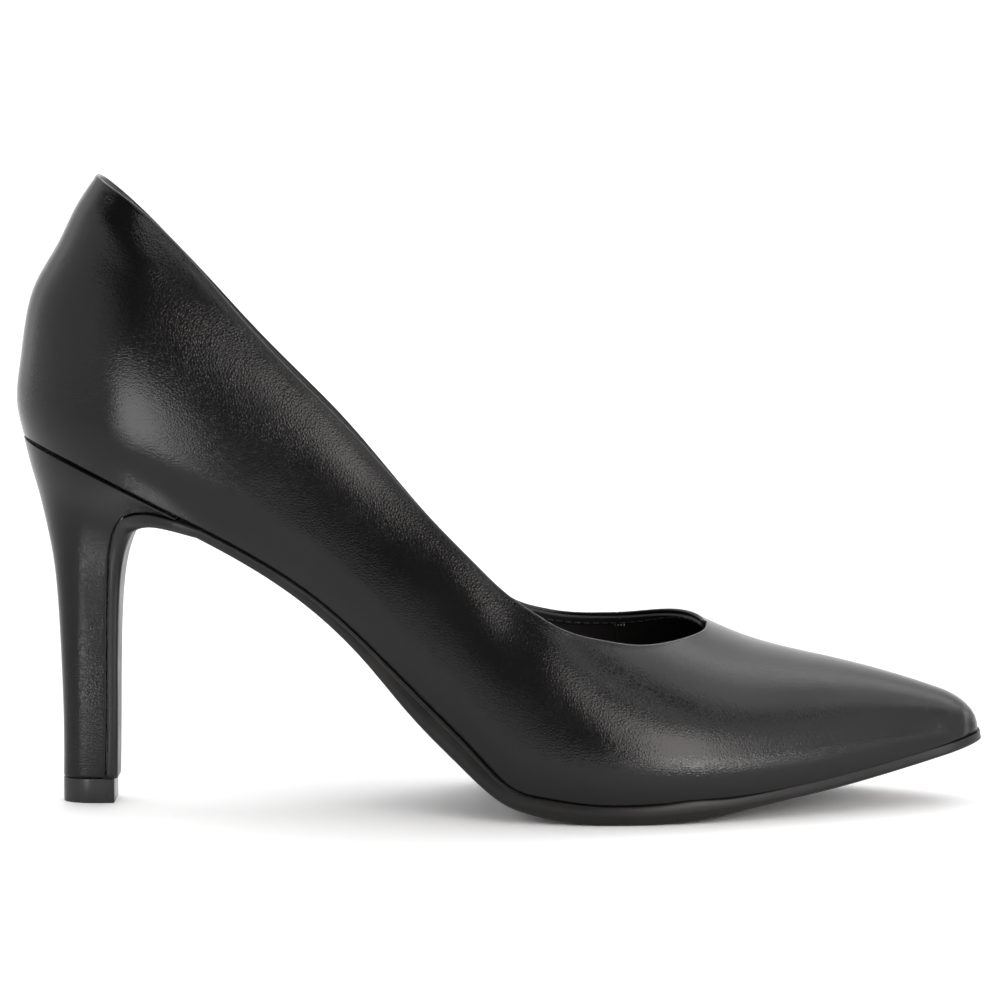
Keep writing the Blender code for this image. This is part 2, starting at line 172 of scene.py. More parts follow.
# Sections of the last
LAST_TABLE = Table("along seat outer inner arch swell_out swell_in belly crown ridge tilt sole", (
    (0.000, 1.014, 0.325, 0.325, 0.000, 0.055, 0.055, 0.210, 2.060, 0.000, 0.00, 0.45),
    (0.080, 0.924, 0.333, 0.332, 0.000, 0.055, 0.055, 0.215, 2.140, 0.000, 0.00, 0.45),
    (0.160, 0.820, 0.334, 0.330, 0.000, 0.055, 0.056, 0.215, 2.130, 0.005, 0.00, 0.45),
    (0.250, 0.693, 0.320, 0.300, 0.008, 0.055, 0.066, 0.215, 2.020, 0.020, 0.00, 0.48),
    (0.320, 0.567, 0.318, 0.268, 0.020, 0.055, 0.082, 0.210, 1.900, 0.030, 0.00, 0.57),
    (0.370, 0.447, 0.332, 0.262, 0.028, 0.052, 0.088, 0.205, 1.820, 0.035, 0.00, 0.68),
    (0.425, 0.305, 0.368, 0.296, 0.028, 0.048, 0.078, 0.195, 1.805, 0.040, 0.00, 1.03),
    (0.475, 0.178, 0.417, 0.362, 0.018, 0.042, 0.055, 0.180, 1.810, 0.048, 0.02, 1.03),
    (0.510, 0.094, 0.456, 0.415, 0.008, 0.036, 0.040, 0.165, 1.790, 0.055, 0.03, 0.90),
    (0.540, 0.071, 0.482, 0.453, 0.002, 0.032, 0.034, 0.155, 1.715, 0.060, 0.05, 0.98),
    (0.590, 0.054, 0.502, 0.492, 0.000, 0.028, 0.030, 0.140, 1.465, 0.066, 0.08, 1.04),
    (0.660, 0.054, 0.492, 0.510, 0.000, 0.026, 0.027, 0.125, 1.165, 0.070, 0.10, 1.04),
    (0.712, 0.060, 0.455, 0.495, 0.000, 0.024, 0.025, 0.115, 0.998, 0.066, 0.10, 0.92),
    (0.750, 0.067, 0.412, 0.468, 0.000, 0.022, 0.023, 0.105, 0.885, 0.062, 0.08, 0.69),
    (0.840, 0.097, 0.282, 0.352, 0.000, 0.018, 0.019, 0.085, 0.680, 0.055, 0.04, 0.52),
    (0.920, 0.137, 0.160, 0.232, 0.000, 0.014, 0.015, 0.065, 0.465, 0.044, 0.01, 0.47),
    (0.962, 0.163, 0.106, 0.177, 0.000, 0.011, 0.012, 0.052, 0.321, 0.039, 0.00, 0.43),
    (1.000, 0.189, 0.062, 0.132, 0.000, 0.008, 0.008, 0.040, 0.180, 0.035, 0.00, 0.34),
))
# Back of the upper: rise over the seat and inset from the rearmost point
BACK_TABLE = Table("rise inset", (
    (0.00, 0.025), (0.09, 0.004), (0.24, 0.014), (0.39, 0.034),
    (0.54, 0.070), (0.72, 0.153), (0.86, 0.210), (1.00, 0.281),
))
# Height of the opening's edge over the feather line, on each side
TOPLINE_TABLE = Table("along outer inner", (
    (0.086, 1.827, 1.827), (0.128, 1.786, 1.702), (0.180, 1.664, 1.542),
    (0.235, 1.461, 1.350), (0.290, 1.310, 1.214), (0.350, 1.240, 1.129),
    (0.420, 1.190, 1.030), (0.480, 1.176, 0.990), (0.515, 1.165, 0.976),
    (0.555, 1.063, 0.952), (0.600, 0.998, 0.966), (0.640, 0.948, 0.982),
    (0.700, 0.900, 1.000),
))
# Slanted sections of the heel block, each from its back to its breast
HEEL_TABLE = Table("back back_up front front_up half straight flap", (
    (0.1155, 0.070, 0.2335, 0.070, 0.059, 0.42, 1.42),
    (0.1165, 0.222, 0.2385, 0.222, 0.062, 0.42, 1.32),
    (0.1110, 0.422, 0.2410, 0.422, 0.069, 0.41, 1.32),
    (0.1000, 0.617, 0.2465, 0.594, 0.084, 0.38, 1.45),
    (0.0815, 0.740, 0.2550, 0.700, 0.110, 0.34, 1.90),
    (0.0602, 0.840, 0.2755, 0.767, 0.149, 0.29, 2.20),
    (0.0400, 0.914, 0.3135, 0.802, 0.193, 0.25, 2.05),
    (0.0270, 0.968, 0.3755, 0.812, 0.234, 0.21, 1.70),
    (0.0200, 1.000, 0.4470, 0.797, 0.262, 0.19, 1.40),
))
# Side of the outsole, in shares of its thickness: how far out past its outline, where it shows its
# layers (rim, hollow, and a lower layer that draws in towards the tread) and where it is one smooth
# round (at the shank, down the heel and at the toe), and how far down
SOLE_EDGE_TABLE = Table("layered smooth down", (
    (0.000, 0.000, 0.000),
    (0.040, 0.040, 0.030),
    (0.075, 0.075, 0.110),
    (0.088, 0.090, 0.240),
    (0.086, 0.098, 0.400),
    (0.068, 0.092, 0.510),
    (0.020, 0.084, 0.570),
    (-0.014, 0.078, 0.605),
    (-0.020, 0.068, 0.640),
    (-0.030, 0.046, 0.700),
    (-0.070, -0.010, 0.800),
    (-0.130, -0.100, 0.900),
    (-0.210, -0.200, 0.965),
    (-0.340, -0.360, 1.000),
))
CREASES = (
    Crease(Side.OUTER, (0.0205, 0.1450), (0.0340, 0.1325), 0.00020, 0.0036),
    Crease(Side.OUTER, (0.0175, 0.1400), (0.0310, 0.1275), -0.00010, 0.0034),
    Crease(Side.INNER, (0.0200, 0.1440), (0.0350, 0.1300), 0.00028, 0.0028),
    Crease(Side.OUTER, (0.1240, 0.0480), (0.1330, 0.0250), -0.00018, 0.0060),
    Crease(Side.INNER, (0.1180, 0.0470), (0.1280, 0.0260), -0.00022, 0.0060),
    Crease(Side.OUTER, (0.2301, 0.0232), (0.2303, 0.0172), 0.00025, 0.0009),
    Crease(Side.OUTER, (0.2321, 0.0225), (0.2323, 0.0172), -0.00022, 0.0008),
)


def closing(place: Array, start: float, end: float, squareness: float) -> Array:
    """1 before start, falling to 0 at end as the side of a superellipse does.

    Args:
        place: places along the foot.
        start: where the closing starts.
        end: where it ends.
        squareness: exponent of the superellipse.

    Returns:
        Shares from 1 to 0.
    """
    share = np.clip((place - start) / (end - start), 0.0, 1.0)
    return (1 - share**squareness) ** (1 / squareness)


def evenly(start: float, end: float, count: int) -> Array:
    """Places from start, evenly, stopping short of end."""
    return start + (end - start) * np.arange(count) / count


def crowded(start: float, end: float, count: int) -> Array:
    """Places from start, crowding towards end as a quarter circle's points do, stopping short of it."""
    return start + (end - start) * np.sin(np.arange(count) / count * RIGHT_ANGLE)


def rounded(start: float, end: float, squareness: float, share: float, count: int) -> Array:
    """Places at even steps of length along the last part of a superellipse that closes at end.

    Args:
        start: where the closing starts.
        end: where it ends.
        squareness: exponent of the superellipse.
        share: share of the way from which the places run.
        count: how many places, short of the end.

    Returns:
        The places.
    """
    turns = np.linspace(np.arcsin(share ** (squareness / 2)), RIGHT_ANGLE, 2001)
    along, across = np.sin(turns) ** (2 / squareness), np.cos(turns) ** (2 / squareness)
    length = np.concatenate([[0.0], np.cumsum(np.hypot(np.diff(along), np.diff(across)))])
    return start + (end - start) * np.interp(evenly(0.0, length[-1], count), length, along)


def faded(place: Array, start: float, end: float) -> Array:
    """0 before start, rising softly to 1 at end."""
    share = np.clip((place - start) / (end - start), 0.0, 1.0)
    return share * share * (3 - 2 * share)


def unit(vectors: Array) -> Array:
    """Vectors scaled to length 1."""
    return vectors / np.maximum(np.linalg.norm(vectors, axis=-1, keepdims=True), 1e-12)


def grid_faces(rows: int, length: int, wrap_rows: bool = False, wrap_length: bool = False) -> Array:
    """Quads between neighbouring rows of a grid of points.

    Args:
        rows: how many rows.
        length: how many points in each.
        wrap_rows: whether the last row meets the first.
        wrap_length: whether a row's last point meets its first.

    Returns:
        Corner numbers, four to a face.
    """
    i = np.arange(rows if wrap_rows else rows - 1)[:, None]
    j = np.arange(length if wrap_length else length - 1)[None, :]
    i_next, j_next = (i + 1) % rows, (j + 1) % length
    corners = (i * length + j, i_next * length + j, i_next * length + j_next, i * length + j_next)
    return np.stack(corners, axis=-1).reshape(-1, 4)


@dataclass
class Surface:
    """Points and faces of four corners; a triangle repeats its third corner."""

    points: Array
    faces: Array

    @classmethod
    def of_grid(cls, grid: Array, wrap_rows: bool = False, wrap_length: bool = False) -> "Surface":
        """A grid of points, rows by length by 3, as a surface.

        Args:
            grid: the points.
            wrap_rows: whether the last row meets the first.
            wrap_length: whether a row's last point meets its first.

        Returns:
            The surface.
        """
        faces = grid_faces(grid.shape[0], grid.shape[1], wrap_rows, wrap_length)
        return cls(grid.reshape(-1, 3), faces)

    @classmethod
    def joined(cls, parts: list["Surface"]) -> "Surface":
        """Several surfaces as one, points kept apart."""
        starts = np.cumsum([0] + [len(part.points) for part in parts[:-1]])
        faces = [part.faces + start for part, start in zip(parts, starts)]
        return cls(np.concatenate([part.points for part in parts]), np.concatenate(faces))

    def welded(self) -> tuple["Surface", Array]:
        """The surface with points that coincide made one and faces without area left out.

        Returns:
            The surface, and for each old point the number of its new one.
        """
        keys = np.round(self.points / WELD).astype(np.int64)
        _, first, index = np.unique(keys, axis=0, return_index=True, return_inverse=True)
        index = index.reshape(-1)
        a, b, c, d = index[self.faces].T
        triangle = np.where((a == b)[:, None], np.stack([a, c, d, d], 1), np.stack([a, b, c, d], 1))
        triangle = np.where((b == c)[:, None], np.stack([a, b, d, d], 1), triangle)
        triangle = np.where((d == a)[:, None], np.stack([a, b, c, c], 1), triangle)
        a, b, c, d = triangle.T
        real = (a != b) & (b != c) & (c != a) & (d != a) & (d != b)
        return Surface(self.points[first], triangle[real]), index

    def normals(self) -> Array:
        """Unit normals at the points: the sum of the faces' cross products of diagonals."""
        a, b, c, d = (self.points[self.faces[:, k]] for k in range(4))
        across = np.cross(c - a, d - b)
        total = np.zeros_like(self.points)
        for k in range(4):
            np.add.at(total, self.faces[:, k], across)
        return unit(total)

    def mesh(self, name: str) -> bpy.types.Mesh:
        """A smooth mesh of the surface, with its faces turned outwards.

        Args:
            name: name of the mesh.

        Returns:
            The mesh.
        """
        surface, _ = self.welded()
        is_triangle = surface.faces[:, 2] == surface.faces[:, 3]
        keep = np.ones_like(surface.faces, bool)
        keep[is_triangle, 3] = False
        sizes = np.where(is_triangle, 3, 4)
        loops = surface.faces[keep]
        mesh = bpy.data.meshes.new(name)
        mesh.vertices.add(len(surface.points))
        mesh.vertices.foreach_set("co", surface.points.astype(np.float32).ravel())
        mesh.loops.add(len(loops))
        mesh.loops.foreach_set("vertex_index", loops.astype(np.int32))
        mesh.polygons.add(len(sizes))
        mesh.polygons.foreach_set("loop_start", (np.cumsum(sizes) - sizes).astype(np.int32))
        mesh.update(calc_edges=True)
        mesh.validate()
        work = bmesh.new()
        work.from_mesh(mesh)
        bmesh.ops.recalc_face_normals(work, faces=work.faces)
        work.to_mesh(mesh)
        work.free()
        mesh.shade_smooth()
        return mesh


class Graph:
    """Short way to lay out a material's nodes, in object coordinates."""

    def __init__(self, name: str) -> None:
        """Starts a material with its Principled shader.

        Args:
            name: name of the material.
        """
        self.material = bpy.data.materials.new(name)
        self.material.use_nodes = True
        self.tree = self.material.node_tree
        self.shader = self.tree.nodes["Principled BSDF"]
        self.place = self.node("TexCoord").outputs["Object"]

    def put(self, value: object, socket: Socket) -> None:
        """Links an output to an input, or sets the input to a constant.

        Args:
            value: the output or the constant.
            socket: the input.
        """
        if isinstance(value, Socket):
            self.tree.links.new(value, socket)
        else:
            socket.default_value = value

    def node(self, kind: str, *values: object, **settings: object) -> bpy.types.Node:
        """Adds a node.

        Args:
            kind: its type, without the leading word ShaderNode.
            values: what goes into its first inputs, in order.
            settings: properties, or what goes into named inputs where it has no such property.

        Returns:
            The node.
        """
        node = self.tree.nodes.new("ShaderNode" + kind)
        for name, value in settings.items():
            if hasattr(node, name):
                setattr(node, name, value)
            else:
                self.put(value, node.inputs[name.replace("_", " ")])
        for value, socket in zip(values, node.inputs):
            self.put(value, socket)
        return node

    def noise(self, scale: float, detail: float, place: Socket | None = None) -> Socket:
        """Cloudy noise.

        Args:
            scale: waves to the metre.
            detail: finer layers.
            place: coordinates, if not the object's own.

        Returns:
            Its value.
        """
        place = self.place if place is None else place
        return self.node("TexNoise", place, Scale=scale, Detail=detail).outputs[0]

    def ranged(self, value: Socket, span: Span = NOISE_SPAN, result: Span = (0.0, 1.0)) -> Socket:
        """Stretches a span of values to another, held at its ends.

        Args:
            value: what comes in.
            span: lowest and highest value that count.
            result: what they become.

        Returns:
            The stretched value.
        """
        return self.node("MapRange", value, *span, *result).outputs["Result"]

    def shaken(self, scale: float, reach: float) -> Socket:
        """Coordinates pushed about by noise, so that cells lose their straight sides.

        Args:
            scale: waves to the metre.
            reach: how far, in metres.

        Returns:
            The moved coordinates.
        """
        noise = self.node("TexNoise", self.place, Scale=scale, Detail=2.0).outputs["Color"]
        centred = self.node("VectorMath", noise, (0.5, 0.5, 0.5), operation="SUBTRACT").outputs[0]
        scaled = self.node("VectorMath", centred, operation="SCALE", Scale=reach).outputs[0]
        return self.node("VectorMath", self.place, scaled, operation="ADD").outputs[0]

    def mixed(self, share: Socket, first: Colour, second: Colour) -> Socket:
        """One colour going over into another.

        Args:
            share: 0 for the first colour, 1 for the second.
            first: red, green and blue.
            second: red, green and blue.

        Returns:
            The colour.
        """
        node = self.node("Mix", share, data_type="RGBA")
        colours = [socket for socket in node.inputs if socket.type == "RGBA"]
        for socket, colour in zip(colours, (first, second)):
            socket.default_value = (*colour, 1.0)
        return next(socket for socket in node.outputs if socket.type == "RGBA")

    def bump(self, height: Socket, depth: float, **under: Socket) -> Socket:
        """Relief from a height between 0 and 1.

        Args:
            height: the height.
            depth: what 1 is, in metres.
            under: Normal, the relief that this one lies on, if any.

        Returns:
            The normal.
        """
        return self.node("Bump", Height=height, Distance=depth, Strength=1.0, **under).outputs["Normal"]

    def shade(self, **values: object) -> None:
        """Sets the shader's own sockets, or links them."""
        for name, value in values.items():
            self.put(value, self.shader.inputs[name.replace("_", " ")])


@dataclass(frozen=True)
class Finish:
    """What all finishes have: a name, a colour and the colour that it goes over into."""

    name: str
    colour: Colour
    worn: Colour
    roughness: float

    def material(self) -> bpy.types.Material:
        """The finish as a new material."""
        graph = Graph(self.name)
        self.dress(graph)
        return graph.material

    def dress(self, graph: Graph) -> None:
        """Lays out the nodes; each kind of finish has its own way."""
        raise NotImplementedError

    def around(self, spread: float) -> Span:
        """Lowest and highest roughness."""
        return self.roughness - spread, self.roughness + spread


@dataclass(frozen=True)
class LeatherFinish(Finish):
    """Smooth leather: pebbled grain, soft dents, and a gloss that varies a little."""

    grain: float  # width of a pebble
    grain_depth: float
    dents: float  # how far apart the soft dents are
    dent_depth: float
    ior: float
    roughness_spread: float = 0.03
    valley: float = 0.42  # share of a pebble from its edge to its level top
    wrinkles: float = 0.6  # share of finer wrinkles in the grain
    strengths: tuple[float, float] = (0.55, 1.0)  # of the grain, from place to place
    patches: float = 55.0  # waves to the metre: strength of the grain, gloss and tone
    clouds: float = 70.0
    tones: float = 38.0

    def dress(self, graph: Graph) -> None:
        """Pebbles are cells with soft valleys, shaken by noise; wider noise makes dents and gloss.

        Args:
            graph: the material's nodes.
        """
        shaken = graph.shaken(0.6 / self.grain, 0.5 * self.grain)
        cells = graph.node("TexVoronoi", shaken, feature="DISTANCE_TO_EDGE", Scale=1 / self.grain)
        pebble = graph.ranged(cells.outputs["Distance"], (0.0, self.valley))
        wrinkle = graph.noise(1.7 / self.grain, 3.0)
        both = graph.node("Math", wrinkle, self.wrinkles, pebble, operation="MULTIPLY_ADD").outputs[0]
        patch = graph.ranged(graph.noise(self.patches, 2.0), result=self.strengths)
        grain = graph.node("Math", both, patch, operation="MULTIPLY").outputs[0]
        relief = graph.bump(graph.noise(1 / self.dents, 2.0), self.dent_depth)
        gloss = graph.noise(self.clouds, 3.0)
        tone = graph.ranged(graph.noise(self.tones, 4.0), (0.35, 0.7))
        graph.shade(
            Base_Color=graph.mixed(tone, self.colour, self.worn),
            Roughness=graph.ranged(gloss, result=self.around(self.roughness_spread)),
            Normal=graph.bump(grain, self.grain_depth, Normal=relief),
            IOR=self.ior,
        )


@dataclass(frozen=True)
class LiningFinish(Finish):
    """Matt lining with the fine even grain of split leather."""

    grain: float
    grain_depth: float
    roughness_spread: float = 0.06
    wear: float = 45.0  # waves to the metre

    def dress(self, graph: Graph) -> None:
        """Fine noise as nap over wide noise as wear.

        Args:
            graph: the material's nodes.
        """
        nap = graph.noise(1 / self.grain, 4.0, graph.shaken(0.4 / self.grain, self.grain))
        wear = graph.ranged(graph.noise(self.wear, 3.0), (0.35, 0.65))
        graph.shade(
            Base_Color=graph.mixed(wear, self.colour, self.worn),
            Roughness=graph.ranged(nap, result=self.around(self.roughness_spread)),
            Normal=graph.bump(nap, self.grain_depth),
            IOR=1.45,
            Specular_IOR_Level=0.4,
        )


@dataclass(frozen=True)
class MouldedFinish(Finish):
    """Moulded sole or tip: satin, with the fine texture of the mould and a trace of handling."""

    texture: float
    texture_depth: float
    coat: float
    roughness_spread: float = 0.05
    handling: float = 90.0  # waves to the metre

    def dress(self, graph: Graph) -> None:
        """Fine noise as mould texture, wider noise as handling marks in the gloss.

        Args:
            graph: the material's nodes.
        """
        handled = graph.noise(self.handling, 4.0)
        tone = graph.ranged(handled, (0.4, 0.75))
        graph.shade(
            Base_Color=graph.mixed(tone, self.colour, self.worn),
            Roughness=graph.ranged(handled, result=self.around(self.roughness_spread)),
            Normal=graph.bump(graph.noise(1 / self.texture, 3.0), self.texture_depth),
            Coat_Weight=self.coat,
            Coat_Roughness=0.2,
            IOR=1.35,
        )


@dataclass(frozen=True)
class ThreadFinish(Finish):
    """Sewing thread: two twisted plies."""

    twist: float = 0.0012
    ply_depth: float = 0.00005

    def dress(self, graph: Graph) -> None:
        """Slanting bands over the thread as plies, with a soft sheen.

        Args:
            graph: the material's nodes.
        """
        plies = graph.node("TexWave", graph.place, wave_type="BANDS", bands_direction="DIAGONAL",
                           Scale=1 / self.twist, Distortion=1.5).outputs["Fac"]
        graph.shade(
            Base_Color=graph.mixed(plies, self.colour, self.worn),
            Roughness=self.roughness,
            Normal=graph.bump(plies, self.ply_depth),
            Sheen_Weight=0.2,
            Sheen_Roughness=0.4,
        )


@dataclass(frozen=True)
class FloorFinish(Finish):
    """Pale matt studio floor."""

    def dress(self, graph: Graph) -> None:
        """A barely uneven white.

        Args:
            graph: the material's nodes.
        """
        tone = graph.ranged(graph.noise(3.0, 3.0))
        graph.shade(
            Base_Color=graph.mixed(tone, self.colour, self.worn),
            Roughness=self.roughness,
            Specular_IOR_Level=0.2,
        )


UPPER_LEATHER = LeatherFinish(
    "upper_leather", (0.0030, 0.0029, 0.0032), (0.0044, 0.0041, 0.0040), 0.185,
    grain=0.00070, grain_depth=0.000031, dents=0.016, dent_depth=0.00008, ior=1.36,
)
HEEL_LEATHER = LeatherFinish(
    "heel_leather", (0.0032, 0.0031, 0.0031), (0.0046, 0.0043, 0.0042), 0.22,
    grain=0.00066, grain_depth=0.000034, dents=0.012, dent_depth=0.00003, ior=1.32,
)
LINING = LiningFinish(
    "lining", (0.0065, 0.0060, 0.0060), (0.0100, 0.0092, 0.0090), 0.62,
    grain=0.00035, grain_depth=0.00003,
)
FACING = LiningFinish(
    "facing", (0.0080, 0.0072, 0.0072), (0.0120, 0.0110, 0.0108), 0.50,
    grain=0.00045, grain_depth=0.00003,
)
SOCK = LiningFinish(
    "sock", (0.0095, 0.0092, 0.0092), (0.0150, 0.0145, 0.0140), 0.56,
    grain=0.00050, grain_depth=0.00004,
)
SOLE_FINISH = MouldedFinish(
    "sole_moulding", (0.0062, 0.0058, 0.0056), (0.0096, 0.0090, 0.0086), 0.36,
    texture=0.00060, texture_depth=0.00003, coat=0.0,
)
TIP_FINISH = MouldedFinish(
    "tip_plastic", (0.0080, 0.0080, 0.0080), (0.0130, 0.0128, 0.0126), 0.27,
    texture=0.00080, texture_depth=0.00001, coat=0.15,
)
BLACK_THREAD = ThreadFinish("black_thread", (0.010, 0.010, 0.010), (0.030, 0.028, 0.027), 0.55)
PALE_THREAD = ThreadFinish("pale_thread", (0.20, 0.17, 0.13), (0.34, 0.30, 0.24), 0.55)
FLOOR_FINISH = FloorFinish("studio_floor", (0.93, 0.93, 0.93), (0.9393, 0.9393, 0.9393), 0.6)


def add_piece(name: str, surface: Surface, material: bpy.types.Material,
              stands_for: str | None = None) -> bpy.types.Object:
    """Adds a piece that rides with the shoe.

    Args:
        name: a maker's plain name.
        surface: its points, in the frame.
        material: its finish.
        stands_for: the solid that it replaces, if any.

    Returns:
        The object.
    """
    mesh = surface.mesh(name)
    mesh.materials.append(material)
    piece = bpy.data.objects.new(name, mesh)
    bpy.context.scene.collection.objects.link(piece)
    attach(piece, BODY)
    if stands_for is not None:
        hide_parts(stands_for)
    LOG.info("%s: %d points, %d faces", name, len(mesh.vertices), len(mesh.polygons))
    return piece


@dataclass
class Section:
    """One side of the upper at stations: a swell to the belly, then an ellipse to the ridge."""

    base: Array
    foot: Array
    wide: Array
    ridge: Array
    belly: Array
    crown: Array
    tilt: Array

    def turn_at(self, height: Array) -> Array:
        """Angle round the ellipse at a height, by repeated arcsine, because the tilt depends on it.

        Args:
            height: over the feather line.

        Returns:
            Angles from 0 to a right angle.
        """
        turn = np.zeros(np.broadcast(height, self.belly).shape)
        for _ in range(30):
            reach = self.crown - self.belly + self.tilt * (self.wide - self.ridge) * np.cos(turn)
            turn = np.arcsin(np.clip((height - self.belly) / np.maximum(reach, WELD), 0.0, 1.0))
        return turn

    def below(self, share: Array) -> tuple[Array, Array]:
        """Parabola from the feather line to the belly.

        Args:
            share: share of the way up to the belly.

        Returns:
            Y, and height over the feather line.
        """
        return self.foot + (self.wide - self.foot) * (1 - (1 - share) ** 2), self.belly * share

    def above(self, turn: Array) -> tuple[Array, Array]:
        """Quarter ellipse from the belly to the ridge, sheared by the tilt.

        Args:
            turn: angle, 0 at the belly.

        Returns:
            Y, and height over the feather line.
        """
        out = (self.wide - self.ridge) * np.cos(turn)
        return self.ridge + out, self.belly + (self.crown - self.belly + self.tilt * out) * np.sin(turn)

    def across(self, height: Array) -> Array:
        """Y of the wall at a height over the feather line."""
        low = self.below(np.clip(height / self.belly, 0.0, 1.0))[0]
        return np.where(height < self.belly, low, self.above(self.turn_at(height))[0])


@dataclass
class Last:
    """The form that the shoe is drawn over, in the solids' own driving sizes."""

    length: float = 0.2353
    ball_width: float = 0.0700
    heel_height: float = 0.0900
    instep: float = 0.0385
    back_height: float = 0.0697
    sole: float = 0.0044
    sole_lip: float = 0.0005
    heel_centre: float = 0.034
    throat: float = 0.1685
    throat_round: float = 0.024
    nose: float = 0.010
    heel_squareness: float = 2.2
    nose_squareness: float = 2.8
    throat_squareness: float = 3.0
    curves: dict[str, Curve] = field(default_factory=dict)

    def __post_init__(self) -> None:
        """Turns the tables into curves, and finds where the solids' frame puts the back of the shoe."""
        widths = ("outer", "inner", "swell_out", "swell_in", "belly", "ridge")
        sizes = dict.fromkeys(widths, self.ball_width) | {
            "seat": self.heel_height, "arch": self.heel_height, "crown": self.instep,
            "tilt": 1.0, "sole": self.sole,
        }
        for name, size in sizes.items():
            self.curves[name] = LAST_TABLE.curve("along", self.length, name, size)
        self.curves["back"] = BACK_TABLE.curve("rise", self.back_height, "inset", self.back_height)
        for name in ("outer", "inner"):
            topline = TOPLINE_TABLE.curve("along", self.length, name, self.instep)
            self.curves["topline_" + name] = topline
        tip_low, tip_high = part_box("top_piece")
        self.shift = np.array([
            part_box("upper")[1].x - (self.length - self.sole_lip), (tip_low.y + tip_high.y) / 2, 0.0
        ])

    def seat(self, x: Array) -> Array:
        """Height of the feather line."""
        return self.curves["seat"](x)

    def arch(self, x: Array) -> Array:
        """How much higher the inner feather line is."""
        return self.curves["arch"](x)

    def middle(self, x: Array) -> Array:
        """Y of the middle of the sole."""
        return (self.curves["inner"](x) - self.curves["outer"](x)) / 2

    def half(self, x: Array) -> Array:
        """Half the width between the feather lines."""
        return (self.curves["inner"](x) + self.curves["outer"](x)) / 2

    def nose_closing(self, x: Array, tip: float) -> Array:
        """Share of the width left on the way round the toe tip."""
        return closing(x, tip - self.nose, tip, self.nose_squareness)

    def section(self, x: Array, side: Side) -> Section:
        """The wall of one side at stations.

        Args:
            x: places along the foot.
            side: which side.

        Returns:
            The section, in arrays of x's shape.
        """
        close = self.nose_closing(x, self.length - self.sole_lip)
        swell = self.curves["swell_out" if side is Side.OUTER else "swell_in"](x)
        lift = self.arch(x) if side is Side.INNER else np.zeros_like(x)
        middle, half = self.middle(x), self.half(x)
        return Section(
            base=self.seat(x) + lift,
            foot=middle + side.value * half * close,
            wide=middle + side.value * (half + swell) * close,
            ridge=middle + (self.curves["ridge"](x) - middle) * close,
            belly=self.curves["belly"](x) * close,
            crown=self.curves["crown"](x) * close - lift,
            tilt=self.curves["tilt"](x),
        )

    def topline(self, x: Array, side: Side) -> Array:
        """Height of the opening's edge over the feather line of that side."""
        if side is Side.OUTER:
            return self.curves["topline_outer"](x)
        return self.curves["topline_inner"](x) - self.arch(x)

    def topline_turn(self, section: Section, x: Array, side: Side, drop: float) -> Array:
        """Angle of the opening's edge, which closes over the throat to a right angle at the ridge.

        Args:
            section: the wall there.
            x: places along the foot.
            side: which side.
            drop: how far the edge is set back from the opening.

        Returns:
            Angles.
        """
        throat = self.throat + drop
        open_share = closing(x, throat - self.throat_round, throat, self.throat_squareness)
        turn = section.turn_at(self.topline(x, side) - drop)
        return np.where(x >= throat, RIGHT_ANGLE, np.arccos(np.cos(turn) * open_share))


